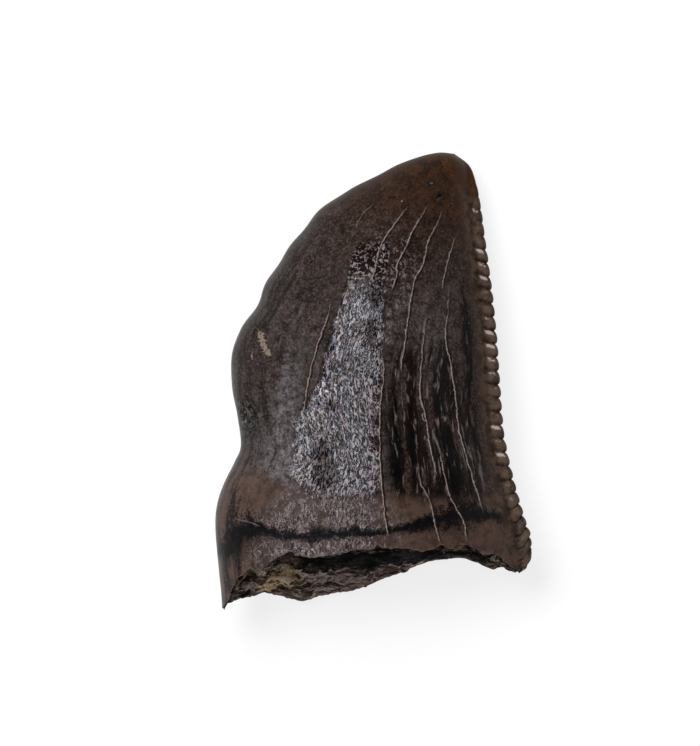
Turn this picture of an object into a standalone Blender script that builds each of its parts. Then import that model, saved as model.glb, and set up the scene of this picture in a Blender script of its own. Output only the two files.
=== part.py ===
"""Fossil tyrannosaur tooth: one broken crown, lying on its lingual side.

Frame: +X towards the serrated distal edge, +Y towards the tip, +Z out of the
labial face that looks up. The origin is under the middle of the tooth, on the
surface that it rests on. Lengths below are in millimetres until the mesh is made.
"""
import math

import bmesh
import bpy
import numpy as np
from mathutils import Vector, noise

MM = 0.001

# Driving dimensions of the crown
CROWN_LENGTH = 15.1
BASE_THICKNESS = 5.8
LABIAL_SHARE = 0.57
REST_DEPTH = 0.17

# The two edges of the crown, seen from the labial side, from below the break up to the tip
MESIAL_EDGE = [
    (-4.98, -8.10), (-5.02, -7.20), (-5.10, -6.40), (-5.22, -5.00), (-5.17, -4.20),
    (-4.95, -3.50), (-4.58, -2.75), (-4.38, -2.20), (-4.50, -1.20), (-4.67, -0.30),
    (-4.68, 0.80), (-4.40, 1.60), (-3.87, 2.40), (-3.44, 3.35), (-2.55, 4.65),
    (-1.59, 5.75), (-0.26, 6.55), (1.23, 7.28), (2.15, 7.52), (2.72, 7.50),
]
DISTAL_EDGE = [
    (5.30, -8.10), (5.24, -5.50), (5.03, -4.70), (4.74, -3.70), (4.47, -2.60),
    (4.30, -1.60), (4.20, -0.25), (4.10, 1.30), (3.94, 2.95), (3.77, 4.25),
    (3.60, 5.60), (3.45, 6.45), (3.22, 7.08), (2.72, 7.50),
]
DISTAL_RIM_Y = -5.75

# Thickness along the crown, as shares of the length and of the base thickness
THICKNESS = [
    (0.00, 1.00), (0.15, 1.00), (0.30, 0.97), (0.50, 0.86), (0.68, 0.69),
    (0.80, 0.53), (0.90, 0.37), (0.95, 0.27),
]
TIP_ROUND_START = 0.93
TIP_LIFT = 0.4
TIP_LIFT_START = 0.55
HEEL_SHARE = 0.14
HEEL_LENGTH = 0.13

# The lens of the cross-section: its crest, and how round and how sharp its two sides are
CREST_SHARE = 0.44
MESIAL_POWER = 2.1
DISTAL_POWER = 1.9
DISTAL_EDGE_POWER = 0.95

# The broken base: the labial rim is higher up the crown than the lingual rim
LABIAL_RIM = [
    (-5.30, -8.10), (-4.97, -7.53), (-4.70, -7.04), (-4.44, -6.54), (-4.07, -6.21),
    (-3.81, -6.36), (-3.41, -6.04), (-2.68, -5.63), (-2.55, -5.78), (-1.99, -5.88),
    (-1.16, -5.73), (-0.53, -5.58), (0.12, -5.42), (0.73, -5.55), (1.59, -5.68),
    (2.22, -5.41), (3.01, -5.43), (3.81, -5.81), (4.01, -5.66), (4.54, -6.24),
    (4.77, -6.34), (5.00, -6.24), (5.13, -6.01), (5.30, -5.70),
]
LINGUAL_RIM = [
    (-5.30, -7.70), (-4.97, -7.53), (-4.44, -7.33), (-3.51, -7.12), (-2.32, -7.45),
    (-1.79, -7.27), (-0.20, -6.95), (0.86, -6.51), (1.92, -6.08), (2.98, -5.98),
    (3.97, -6.36), (4.83, -6.32), (5.10, -6.04), (5.30, -5.70),
]
# Share through the thickness, from the labial wall to the lingual one, with the depth of
# the pulp cavity there and the share of the slope that the break has fallen by there
BREAK_STEPS = [
    (0.00, 0.00, 0.00), (0.10, 0.06, 0.03), (0.19, 0.20, 0.06), (0.27, 0.95, 0.08),
    (0.45, 1.00, 0.16), (0.57, 0.55, 0.30), (0.72, 0.10, 0.70), (0.86, 0.02, 0.92),
    (1.00, 0.00, 1.00),
]
PULP_DEPTH = 0.95
PULP_MIDDLE_X = -0.3
PULP_HALF_WIDTH = 3.15
PULP_EDGE = 1.0
BREAK_ROUGHNESS = 0.24
BREAK_GRAIN = 1.3
BREAK_LAYERS = 4.0

# The keel along the distal edge
KEEL_LENGTH = 0.30
KEEL_HALF_WIDTH = 0.17
KEEL_TIP_LENGTH = 0.10
KEEL_FADE = (0.4, 1.2)
KEEL_BLEND = 4

# The serrations, cut into the keel
SLIT_LENGTH = 0.42
SLIT_FADE = (0.34, 0.55)
SLIT_SHARE = 0.5
SERRATION_HEIGHT = 0.10
SERRATION_PITCH = 0.448
SERRATION_PITCH_AT_BASE = 0.33
SERRATION_TAPER = 2.6
FIRST_SERRATION_Y = -5.55
LAST_SERRATION_Y = 6.45
WORN_CREST = 0.6
# Share of each pitch at the slit and at the two shoulders, with the crest height there
SERRATION_ROWS = [(0.0, 0.0), (0.32, 1.0), (0.74, 1.0)]

# Near the tip the keel and its serrations shrink with the chord
KEEL_CHORD_SHARE = 0.06
KEEL_TIP_CHORD_SHARE = 0.05
SLIT_CHORD_SHARE = 0.14
FULL_KEEL_CHORD = 1.5
FULL_SERRATION_CHORD = 3.0

# Worn places: middle, half sizes across and along, depth
LABIAL_WEAR = [
    ((0.25, -1.90), (0.32, 3.20), 0.07),
    ((2.35, -0.60), (0.35, 3.40), 0.06),
    ((-1.90, 0.60), (0.30, 2.60), 0.05),
    ((-3.55, 1.25), (0.34, 0.75), 0.13),
    ((-4.20, -1.35), (0.34, 0.70), 0.16),
    ((-0.20, 4.90), (0.60, 0.90), 0.05),
]
LINGUAL_WEAR = [
    ((-1.60, -3.00), (0.40, 2.40), 0.07),
    ((1.90, -1.20), (0.45, 3.00), 0.08),
    ((-3.50, 0.60), (0.45, 0.90), 0.12),
]
RIPPLE_HEIGHT = 0.05
RIPPLE_ACROSS = 0.9
RIPPLE_ALONG = 0.28
RELIEF_FADE = 0.5

# Fineness of the solid
HALF_COLUMNS = 20
KEEL_COLUMNS = 2
BASE_ROWS_END = 0.34
TIP_ROWS = 7
LAST_ROW_SHARE = 0.997
CURVE_STEPS = 24
RIM_SEARCH_STEPS = 400
SNAP = 0.03

ENAMEL_COLOUR = (0.060, 0.042, 0.036, 1.0)
ENAMEL_ROUGHNESS = 0.42


def clear_scene():
    for old in list(bpy.data.objects):
        bpy.data.objects.remove(old, do_unlink=True)


def smooth_step(low, high, value):
    share = np.clip((value - low) / (high - low), 0.0, 1.0)
    return share * share * (3.0 - 2.0 * share)


def smooth_curve(points):
    """Sample a smooth curve through the points; return its length shares and places."""
    knots = np.array(points)
    knots = np.vstack([2 * knots[0] - knots[1], knots, 2 * knots[-1] - knots[-2]])
    places = []
    for before, start, end, after in zip(knots, knots[1:], knots[2:], knots[3:]):
        bend = 2 * before - 5 * start + 4 * end - after
        twist = 3 * start - before - 3 * end + after
        for step in range(CURVE_STEPS):
            t = step / CURVE_STEPS
            places.append(start + 0.5 * ((end - before) * t + bend * t**2 + twist * t**3))
    places = np.array(places + [knots[-2]])
    lengths = np.hypot(*np.diff(places, axis=0).T)
    shares = np.concatenate([[0.0], np.cumsum(lengths)]) / lengths.sum()
    return shares, places


def point_on(curve, share):
    shares, places = curve
    return np.stack([np.interp(share, shares, places[:, axis]) for axis in (0, 1)], axis=-1)


def share_at_height(curve, height):
    """Share of its length at which an edge reaches a height."""
    shares, places = curve
    return float(np.interp(height, places[:, 1], shares))


MESIAL = smooth_curve(MESIAL_EDGE)
DISTAL = smooth_curve(DISTAL_EDGE)
RIM_SHARE = share_at_height(DISTAL, DISTAL_RIM_Y)


def thickness(share):
    """Whole thickness of the crown, drawn in to nothing over the rounded tip."""
    wide = np.interp(share, *np.array(THICKNESS).T) * BASE_THICKNESS
    closing = np.clip((share - TIP_ROUND_START) / (1.0 - TIP_ROUND_START), 0.0, 1.0)
    return wide * np.sqrt(1.0 - closing**2)


def middle_height(share):
    """Height of the two edges: the crown bends so that its lingual face lies level."""
    lift = TIP_LIFT * smooth_step(TIP_LIFT_START, 1.0, share)
    return thickness(share) * (1.0 - LABIAL_SHARE) - REST_DEPTH + lift


def column_distance(column, chord):
    """Distance of a column from the distal edge: two on the keel, the rest on the body."""
    if column < KEEL_COLUMNS:
        return column * np.minimum(KEEL_TIP_LENGTH, KEEL_TIP_CHORD_SHARE * chord)
    slit = np.minimum(SLIT_LENGTH, SLIT_CHORD_SHARE * chord)
    turn = (column - KEEL_COLUMNS) / (HALF_COLUMNS - KEEL_COLUMNS)
    return slit + (chord - slit) * math.sin(0.5 * math.pi * turn)


def lens_height(from_mesial, length):
    """Height of the lens-shaped section, from 0 at its edges to 1 at its crest."""
    crest = CREST_SHARE * length
    mesial_side = np.clip((crest - from_mesial) / crest, 0.0, 1.0)
    distal_side = np.clip((from_mesial - crest) / (length - crest), 0.0, 1.0)
    return (np.sqrt(1.0 - mesial_side**MESIAL_POWER)
            * (1.0 - distal_side**DISTAL_POWER) ** DISTAL_EDGE_POWER)


def face_height(distance, chord, share, side):
    """Height of a face over the edges: the lens blended with the thin keel."""
    keel_length = np.minimum(KEEL_LENGTH, KEEL_CHORD_SHARE * chord)
    whole = thickness(share) * (LABIAL_SHARE if side > 0 else 1.0 - LABIAL_SHARE)
    lens = whole * lens_height(np.maximum(chord - distance, 0.0), chord - keel_length)
    keel = KEEL_HALF_WIDTH * np.sqrt(np.minimum(1.0, distance / KEEL_TIP_LENGTH))
    keel = keel * np.minimum(1.0, chord / FULL_KEEL_CHORD)
    keel = keel * (1.0 - smooth_step(*KEEL_FADE, distance))
    height = (lens**KEEL_BLEND + keel**KEEL_BLEND) ** (1.0 / KEEL_BLEND)
    if side < 0:
        heel = 1.0 - smooth_step(RIM_SHARE, RIM_SHARE + HEEL_LENGTH, share)
        height = height * (1.0 - HEEL_SHARE * heel)
    return height


def wear_depth(x, y, side):
    """Depth of the shallow worn hollows at a place."""
    depth = np.zeros_like(x)
    for (middle_x, middle_y), (across, along), deep in LABIAL_WEAR if side > 0 else LINGUAL_WEAR:
        reach = ((x - middle_x) / across) ** 2 + ((y - middle_y) / along) ** 2
        depth += deep * np.exp(-reach)
    return depth


def ripple(x, y, side):
    """Low lengthwise swells of the enamel."""
    values = [noise.noise(Vector((a * RIPPLE_ACROSS, b * RIPPLE_ALONG, side)))
              for a, b in zip(x, y)]
    return RIPPLE_HEIGHT * np.array(values)


def crown_column(column, side, share, crest):
    """One lengthwise line of points; side is 1 on the labial face and -1 on the lingual."""
    mesial = point_on(MESIAL, share)
    distal = point_on(DISTAL, share)
    chord = np.hypot(*(distal - mesial).T)
    inward = (mesial - distal) / chord[:, None]
    distance = column_distance(column, chord)
    on_keel = 1.0 - smooth_step(*SLIT_FADE, distance)
    reach = on_keel * np.minimum(1.0, chord / FULL_SERRATION_CHORD)
    push = SERRATION_HEIGHT * (crest - WORN_CREST) * reach
    x, y = (distal + inward * (distance - push)[:, None]).T
    height = np.zeros_like(x)
    if 0 < column < HALF_COLUMNS:
        height = face_height(distance, chord, share, side)
        height = height * (1.0 - SLIT_SHARE * on_keel * (1.0 - crest))
        relief = ripple(x, y, side) - wear_depth(x, y, side)
        height = height + relief * smooth_step(0.0, RELIEF_FADE, height)
    return np.stack([x, y, middle_height(share) + side * height], axis=-1)


def serration_starts():
    """Height at which each serration starts; they sit closer together near the base."""
    starts = [FIRST_SERRATION_Y]
    while starts[-1] < LAST_SERRATION_Y:
        full = min(1.0, (starts[-1] - FIRST_SERRATION_Y) / SERRATION_TAPER)
        widening = (SERRATION_PITCH - SERRATION_PITCH_AT_BASE) * full
        starts.append(starts[-1] + SERRATION_PITCH_AT_BASE + widening)
    return starts


def row_shares():
    """Length share and crest height of every row of points, from the rim to the tip."""
    rows = [(RIM_SHARE, WORN_CREST)]
    starts = serration_starts()
    for start, end in zip(starts, starts[1:]):
        for place, crest in SERRATION_ROWS:
            rows.append((share_at_height(DISTAL, start + (end - start) * place), crest))
    last = share_at_height(DISTAL, starts[-1])
    for step in range(TIP_ROWS):
        turn = 0.5 * math.pi * (step + 0.5) / TIP_ROWS
        rows.append((last + (LAST_ROW_SHARE - last) * math.sin(turn), WORN_CREST))
    return np.array(rows).T


def rim_height(x, side):
    return np.interp(x, *np.array(LABIAL_RIM if side > 0 else LINGUAL_RIM).T)


def rim_share(column, side):
    """Share of the length at which a column meets the broken rim."""
    share = np.linspace(0.0, BASE_ROWS_END, RIM_SEARCH_STEPS)
    x, y, _ = crown_column(column, side, share, np.full_like(share, WORN_CREST)).T
    above = y - rim_height(x, side)
    below = np.nonzero(above <= 0.0)[0][-1]
    part = above[below] / (above[below] - above[below + 1])
    return share[below] + part * (share[1] - share[0])


def break_height(x, share):
    """Height of the broken face, at a share through the thickness from the labial rim."""
    shares, pulp, fall = np.array(BREAK_STEPS).T
    labial = rim_height(x, 1)
    y = labial + (rim_height(x, -1) - labial) * np.interp(share, shares, fall)
    from_middle = abs(x - PULP_MIDDLE_X)
    slot = 1.0 - smooth_step(PULP_HALF_WIDTH - PULP_EDGE, PULP_HALF_WIDTH + PULP_EDGE,
                             from_middle)
    y += PULP_DEPTH * np.interp(share, shares, pulp) * slot
    grain = noise.noise(Vector((x * BREAK_GRAIN, share * BREAK_LAYERS, BREAK_LAYERS)))
    return y + BREAK_ROUGHNESS * grain * math.sin(math.pi * share)


def build_rings(bm):
    """Rings of points from the rim to the tip; each starts at the distal edge."""
    shares, crests = row_shares()
    lines = [(column, 1) for column in range(HALF_COLUMNS + 1)]
    lines += [(column, -1) for column in range(HALF_COLUMNS - 1, 0, -1)]
    columns = []
    for column, side in lines:
        start = rim_share(column, side)
        stretch = (BASE_ROWS_END - start) / (BASE_ROWS_END - RIM_SHARE)
        lowered = BASE_ROWS_END - (BASE_ROWS_END - shares) * stretch
        fitted = np.where(shares < BASE_ROWS_END, lowered, shares)
        columns.append(crown_column(column, side, fitted, crests))
    rows = np.array(columns).transpose(1, 0, 2)
    return [[bm.verts.new(Vector(point) * MM) for point in row] for row in rows]


def skin_rings(bm, rings):
    for low, high in zip(rings, rings[1:]):
        for place in range(len(low)):
            following = (place + 1) % len(low)
            bm.faces.new((low[place], low[following], high[following], high[place]))


def close_tip(bm, ring):
    x, y = point_on(DISTAL, 1.0)
    peak = bm.verts.new((x * MM, y * MM, ring[0].co.z))
    for place, vert in enumerate(ring):
        bm.faces.new((vert, ring[(place + 1) % len(ring)], peak))


def close_break(bm, rim):
    """The broken face: one band per column, from the labial rim to the lingual rim."""
    steps = [step[0] for step in BREAK_STEPS]
    bands = [[rim[0]] * len(steps)]
    for column in range(1, HALF_COLUMNS):
        labial = rim[column]
        lingual = rim[-column]
        band = [labial]
        for share in steps[1:-1]:
            place = labial.co.lerp(lingual.co, share)
            place.y = break_height(place.x / MM, share) * MM
            band.append(bm.verts.new(place))
        bands.append(band + [lingual])
    bands.append([rim[HALF_COLUMNS]] * len(steps))
    for left, right in zip(bands, bands[1:]):
        for step in range(len(steps) - 1):
            corners = [left[step], left[step + 1], right[step + 1], right[step]]
            bm.faces.new(list(dict.fromkeys(corners)))


def flatten_underside(bm):
    """Trim the lingual face to the worn flat that the tooth rests on."""
    everything = bm.verts[:] + bm.edges[:] + bm.faces[:]
    cut = bmesh.ops.bisect_plane(
        bm, geom=everything, dist=SNAP * MM, plane_co=(0, 0, 0), plane_no=(0, 0, -1),
        use_snap_center=True, clear_outer=True)
    border = [item for item in cut["geom_cut"] if isinstance(item, bmesh.types.BMEdge)]
    bmesh.ops.contextual_create(bm, geom=border)


def fit_to_length(bm):
    """Bring the tooth to its stated length, with the origin under its middle."""
    corners = np.array([vert.co for vert in bm.verts])
    low, high = corners.min(axis=0), corners.max(axis=0)
    middle = 0.5 * (low + high)
    bmesh.ops.translate(bm, verts=bm.verts, vec=(-middle[0], -middle[1], 0.0))
    factor = CROWN_LENGTH * MM / (high[1] - low[1])
    bmesh.ops.scale(bm, verts=bm.verts, vec=(factor, factor, factor))


def enamel_material():
    material = bpy.data.materials.new("fossil_enamel")
    material.use_nodes = True
    shader = material.node_tree.nodes["Principled BSDF"]
    shader.inputs["Base Color"].default_value = ENAMEL_COLOUR
    shader.inputs["Roughness"].default_value = ENAMEL_ROUGHNESS
    shader.inputs["Metallic"].default_value = 0.0
    return material


def make_tooth():
    bm = bmesh.new()
    rings = build_rings(bm)
    skin_rings(bm, rings)
    close_tip(bm, rings[-1])
    close_break(bm, rings[0])
    flatten_underside(bm)
    fit_to_length(bm)
    bmesh.ops.recalc_face_normals(bm, faces=bm.faces)
    bmesh.ops.triangulate(bm, faces=bm.faces)
    mesh = bpy.data.meshes.new("tooth_crown")
    bm.to_mesh(mesh)
    bm.free()
    mesh.shade_smooth()
    mesh.set_sharp_from_angle(angle=math.radians(40))
    mesh.materials.append(enamel_material())
    tooth = bpy.data.objects.new("tooth_crown", mesh)
    bpy.context.scene.collection.objects.link(tooth)
    return tooth


clear_scene()
crown = make_tooth()
print(crown.name, len(crown.data.polygons), "triangles,",
      " x ".join(f"{length / MM:.2f}" for length in crown.dimensions), "mm")
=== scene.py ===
# %% [markdown]
# A fossil tyrannosaur tooth
#
# The real object is one broken tooth crown, about 15 mm long, gone to stone. It lies on its
# inner side on a pale surface and is seen from straight above. This lesson builds it as one
# fine mesh over a plain solid of the same size, then gives it its finishes: worn enamel on
# the outside, mixed once dull and once glossy, and rough dentine where the base broke away.

# %% Load the plain solid
import math

import bmesh
import bpy
import numpy as np
from mathutils import Matrix, Vector, noise


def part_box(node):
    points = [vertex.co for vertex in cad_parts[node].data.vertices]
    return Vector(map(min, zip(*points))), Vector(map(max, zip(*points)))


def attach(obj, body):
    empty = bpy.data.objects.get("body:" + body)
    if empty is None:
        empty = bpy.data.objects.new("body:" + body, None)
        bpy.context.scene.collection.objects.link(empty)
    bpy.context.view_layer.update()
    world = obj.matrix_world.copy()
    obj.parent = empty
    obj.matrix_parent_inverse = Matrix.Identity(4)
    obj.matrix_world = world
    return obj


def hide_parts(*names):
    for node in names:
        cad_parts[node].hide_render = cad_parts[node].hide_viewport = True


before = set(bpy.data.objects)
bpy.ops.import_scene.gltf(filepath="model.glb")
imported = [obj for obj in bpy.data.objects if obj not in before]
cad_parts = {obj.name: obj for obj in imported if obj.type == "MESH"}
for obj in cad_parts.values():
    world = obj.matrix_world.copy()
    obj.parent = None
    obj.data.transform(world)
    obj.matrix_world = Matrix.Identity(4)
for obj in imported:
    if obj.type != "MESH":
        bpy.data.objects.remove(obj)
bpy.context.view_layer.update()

tooth_low, tooth_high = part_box("tooth_crown")
MM = 0.001
print("solid:", [round(length / MM, 2) for length in tooth_high - tooth_low], "mm")

# %% [markdown]
# The outline
#
# Seen from above, the crown is held between two edges: a rounded mesial edge that bulges,
# narrows at a waist and flares at the base, and a nearly straight distal edge that carries
# the serrations. A smooth curve through a few points follows each edge. Every other place
# on the crown is then a share of the way from base to tip and a distance between the edges.

# %% Two edges as smooth curves, in millimetres
MESIAL_EDGE = [
    (-4.98, -8.10), (-5.02, -7.20), (-5.10, -6.40), (-5.22, -5.00), (-5.17, -4.20),
    (-4.95, -3.50), (-4.58, -2.75), (-4.38, -2.20), (-4.50, -1.20), (-4.67, -0.30),
    (-4.68, 0.80), (-4.40, 1.60), (-3.87, 2.40), (-3.44, 3.35), (-2.55, 4.65),
    (-1.59, 5.75), (-0.26, 6.55), (1.23, 7.28), (2.15, 7.52), (2.72, 7.50),
]
DISTAL_EDGE = [
    (5.30, -8.10), (5.24, -5.50), (5.03, -4.70), (4.74, -3.70), (4.47, -2.60),
    (4.30, -1.60), (4.20, -0.25), (4.10, 1.30), (3.94, 2.95), (3.77, 4.25),
    (3.60, 5.60), (3.45, 6.45), (3.22, 7.08), (2.72, 7.50),
]
CURVE_STEPS = 24


def smooth_step(low, high, value):
    share = np.clip((value - low) / (high - low), 0.0, 1.0)
    return share * share * (3.0 - 2.0 * share)


def smooth_points(points, steps=CURVE_STEPS):
    """Points of a smooth curve that passes through every given point."""
    knots = np.array(points, float)
    knots = np.vstack([2 * knots[0] - knots[1], knots, 2 * knots[-1] - knots[-2]])
    places = []
    for before, start, end, after in zip(knots, knots[1:], knots[2:], knots[3:]):
        bend = 2 * before - 5 * start + 4 * end - after
        twist = 3 * start - before - 3 * end + after
        for step in range(steps):
            t = step / steps
            places.append(start + 0.5 * ((end - before) * t + bend * t**2 + twist * t**3))
    return np.array(places + [knots[-2]])


def smooth_curve(points):
    places = smooth_points(points)
    lengths = np.hypot(*np.diff(places, axis=0).T)
    shares = np.concatenate([[0.0], np.cumsum(lengths)]) / lengths.sum()
    return shares, places


def point_on(curve, share):
    """x and y of a curve at a share of its length."""
    shares, places = curve
    return [np.interp(share, shares, places[:, axis]) for axis in (0, 1)]


MESIAL = smooth_curve(MESIAL_EDGE)
DISTAL = smooth_curve(DISTAL_EDGE)


def share_at(height):
    """Share of the distal edge's length at which it reaches a height."""
    return float(np.interp(height, DISTAL[1][:, 1], DISTAL[0]))


print("mesial edge:", len(MESIAL[0]), "points, distal edge:", len(DISTAL[0]))

# %% [markdown]
# The section
#
# Cut across, such a crown is a thick lens: round at the mesial edge, sharper towards the
# distal edge, where a thin keel stands out. The outer, labial face is fuller than the inner
# one. The heights here are the ones that the solid was made with, so the mesh fits over it.

# %% Thickness from base to tip
BASE_THICKNESS = 5.8
LABIAL_SHARE = 0.57
REST_DEPTH = 0.17
THICKNESS = [
    (0.00, 1.00), (0.15, 1.00), (0.30, 0.97), (0.50, 0.86), (0.68, 0.69),
    (0.80, 0.53), (0.90, 0.37), (0.95, 0.27),
]
TIP_ROUND_START = 0.93
TIP_LIFT = 0.4
TIP_LIFT_START = 0.55
SOFTENING = (-0.03, -0.015, 0.0, 0.015, 0.03)
WAIST_SHARE = 0.4


def read_off(chain, place):
    """The value of a chain of (place, value) pairs at any place along it."""
    return np.interp(place, *np.array(chain).T)


def thickness(share):
    """Whole thickness at a share of the length, with the corners of the chain softened."""
    soft = sum(read_off(THICKNESS, share + shift) for shift in SOFTENING) / len(SOFTENING)
    closing = np.clip((share - TIP_ROUND_START) / (1.0 - TIP_ROUND_START), 0.0, 1.0)
    return soft * BASE_THICKNESS * np.sqrt(1.0 - closing**2)


def middle_height(share):
    """Height of the two edges over the floor; it rises towards the tip."""
    lift = TIP_LIFT * smooth_step(TIP_LIFT_START, 1.0, share)
    return thickness(share) * (1.0 - LABIAL_SHARE) - REST_DEPTH + lift


print("thickness at the waist:", round(float(thickness(WAIST_SHARE)), 2), "mm")

# %% [markdown]
# The lens and the keel
#
# Each face rises from the mesial edge to a crest and falls again to the distal edge. One
# power curve on each side of the crest draws that. The keel is a second, narrow curve at the
# distal edge, and a soft maximum joins the two. The inner face is a little flatter near the
# base, where it is worn.

# %% Height of a face across the crown
CREST_SHARE = 0.44
MESIAL_POWER = 2.1
DISTAL_POWER = 1.9
DISTAL_EDGE_POWER = 0.95
KEEL_LENGTH = 0.30
KEEL_HALF_WIDTH = 0.17
KEEL_TIP_LENGTH = 0.10
KEEL_FADE = (0.4, 1.2)
KEEL_BLEND = 4
KEEL_CHORD_SHARE = 0.06
FULL_KEEL_CHORD = 1.5
HEEL_SHARE = 0.14
HEEL_LENGTH = 0.13
RIM_Y = -5.75
RIM_SHARE = share_at(RIM_Y)


def lens_height(from_mesial, length):
    crest = CREST_SHARE * length
    mesial_side = np.clip((crest - from_mesial) / crest, 0.0, 1.0)
    distal_side = np.clip((from_mesial - crest) / (length - crest), 0.0, 1.0)
    return (np.sqrt(1.0 - mesial_side**MESIAL_POWER)
            * (1.0 - distal_side**DISTAL_POWER) ** DISTAL_EDGE_POWER)


def face_height(distance, chord, share, side):
    keel_length = np.minimum(KEEL_LENGTH, KEEL_CHORD_SHARE * chord)
    whole = thickness(share) * (LABIAL_SHARE if side > 0 else 1.0 - LABIAL_SHARE)
    lens = whole * lens_height(np.maximum(chord - distance, 0.0), chord - keel_length)
    keel = KEEL_HALF_WIDTH * np.sqrt(np.minimum(1.0, distance / KEEL_TIP_LENGTH))
    keel = keel * np.minimum(1.0, chord / FULL_KEEL_CHORD)
    keel = keel * (1.0 - smooth_step(*KEEL_FADE, distance))
    height = (lens**KEEL_BLEND + keel**KEEL_BLEND) ** (1.0 / KEEL_BLEND)
    if side < 0:
        heel = 1.0 - smooth_step(RIM_SHARE, RIM_SHARE + HEEL_LENGTH, share)
        height = height * (1.0 - HEEL_SHARE * heel)
    return height


print("keel:", 2 * KEEL_HALF_WIDTH, "mm thick and", KEEL_LENGTH, "mm deep")

# %% [markdown]
# The serrations
#
# Each serration is a small rounded chisel, about 0.45 mm wide, parted from the next by a
# narrow slit that runs on into the keel. They could be separate blocks joined to the edge,
# but on the real tooth they are one skin with it. So the rows of the mesh are laid to fit
# them, twelve rows to each, and the edge moves in and out from row to row.

# %% Serrations along the distal edge
SERRATION_PITCH = 0.448
SERRATION_PITCH_AT_BASE = 0.33
SERRATION_TAPER = 2.6
FIRST_SERRATION_Y = -5.55
LAST_SERRATION_Y = 6.45
CREST_LEAN = 0.90
CREST_FULLNESS = 2.0
CREST_ROUNDNESS = 0.75


def serration_starts():
    starts = [FIRST_SERRATION_Y]
    while starts[-1] < LAST_SERRATION_Y:
        full = min(1.0, (starts[-1] - FIRST_SERRATION_Y) / SERRATION_TAPER)
        widening = (SERRATION_PITCH - SERRATION_PITCH_AT_BASE) * full
        starts.append(starts[-1] + SERRATION_PITCH_AT_BASE + widening)
    return np.array(starts)


def crest_shape(phase):
    """Height over one serration: a rounded bead between two narrow slits, leaning tipward."""
    lean = phase ** CREST_LEAN
    return (1.0 - abs(2.0 * lean - 1.0) ** CREST_FULLNESS) ** CREST_ROUNDNESS


print(len(serration_starts()) - 1, "serrations, the first at y", FIRST_SERRATION_Y, "mm")

# %% [markdown]
# The rows of the mesh
#
# Each row of points goes round the crown at one share of its length. A few rows lead from
# the rim to the first serration, twelve follow for each serration, and at the tip the rows
# crowd together to draw its round end. Wear has lowered the serrations most of all at the
# tip, and many of them get a painted highlight, a pale glint. A little chance keeps any two
# from being alike.

# %% Share, crest height and glint of every row
ROWS_PER_SERRATION = 12
BASE_ROWS = 6
TIP_ROWS = 26
LAST_ROW_SHARE = 0.9995
WORN_CREST = 0.6
CREST_WEAR = [(-5.6, 0.70), (-5.0, 1.0), (3.5, 0.95), (5.0, 0.65), (6.0, 0.35), (6.6, 0.15)]
CREST_SPREAD = 0.10
# Strength of the painted glint along the height.
GLINT_STRENGTH = [(-5.6, 0.5), (-4.0, 0.35), (-3.0, 1.0), (4.0, 0.9), (5.0, 0.8), (5.6, 0.0)]
GLINT_CHANCES = (0.15, 1.35)
GLINT_PHASE = 0.76
GLINT_WIDTH = 0.16
SEED = 11
chance = np.random.default_rng(SEED)


def lay_rows():
    """Length share, crest height and painted glint of every row, from the rim to the tip."""
    starts = serration_starts()
    tall = 1.0 + CREST_SPREAD * chance.standard_normal(len(starts))
    tall = tall * read_off(CREST_WEAR, starts)
    bright = np.clip(chance.uniform(*GLINT_CHANCES, len(starts)), 0.0, 1.0)
    bright = bright * read_off(GLINT_STRENGTH, starts)
    shares = list(np.linspace(RIM_SHARE, share_at(FIRST_SERRATION_Y), BASE_ROWS, endpoint=False))
    crests = [WORN_CREST] * BASE_ROWS
    glints = [0.0] * BASE_ROWS
    for start, end, high, glint in zip(starts, starts[1:], tall, bright):
        for step in range(ROWS_PER_SERRATION):
            phase = step / ROWS_PER_SERRATION
            shares.append(share_at(start + (end - start) * phase))
            crests.append(WORN_CREST + (crest_shape(phase) - WORN_CREST) * high)
            glints.append(glint * math.exp(-((phase - GLINT_PHASE) / GLINT_WIDTH) ** 2))
    last = share_at(starts[-1])
    for step in range(TIP_ROWS):
        turn = 0.5 * math.pi * (step + 0.5) / TIP_ROWS
        shares.append(last + (LAST_ROW_SHARE - last) * math.sin(turn))
        crests.append(WORN_CREST)
        glints.append(0.0)
    return np.array(shares), np.array(crests), np.array(glints)


ROW_SHARES, ROW_CRESTS, ROW_GLINTS = lay_rows()
print(len(ROW_SHARES), "rows, brightest glint", round(float(ROW_GLINTS.max()), 2))

# %% [markdown]
# Wear and relief
#
# Enamel of this kind is never even. It has long shallow hollows beside the main cracks, low
# swells along the crown, a chipped patch and a rough pitted patch near the mesial edge, and
# one deep pinhole near the tip. Each is a small change of height, added to the smooth crown
# before the mesh is made, because real geometry shades correctly from every side.

# %% Hollows, pits and swells
LABIAL_WEAR = [
    ((0.25, -1.90), (0.32, 3.20), 0.07),
    ((2.35, -0.60), (0.35, 3.40), 0.06),
    ((-3.55, 1.25), (0.34, 0.75), 0.13),
    ((-4.20, -1.35), (0.34, 0.70), 0.16),
    ((-0.20, 4.90), (0.60, 0.90), 0.05),
    ((2.19, 6.01), (0.09, 0.08), 0.16),
    ((1.90, 6.44), (0.12, 0.06), 0.05),
    ((-3.62, 1.10), (0.12, 0.35), 0.08),
    ((-3.45, 1.55), (0.10, 0.16), 0.06),
    ((-0.62, 1.36), (0.16, 0.22), 0.04),
]
LINGUAL_WEAR = [
    ((-1.60, -3.00), (0.40, 2.40), 0.07),
    ((1.90, -1.20), (0.45, 3.00), 0.08),
    ((-3.50, 0.60), (0.45, 0.90), 0.12),
    ((2.60, 3.20), (0.30, 1.20), 0.05),
    ((-2.40, -5.60), (0.30, 0.22), 0.08),
]


def soft_spot(x, y, middle, halves):
    """A soft round spot, 1 at its middle, with its half sizes across and along."""
    return np.exp(-(((x - middle[0]) / halves[0]) ** 2 + ((y - middle[1]) / halves[1]) ** 2))


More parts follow.
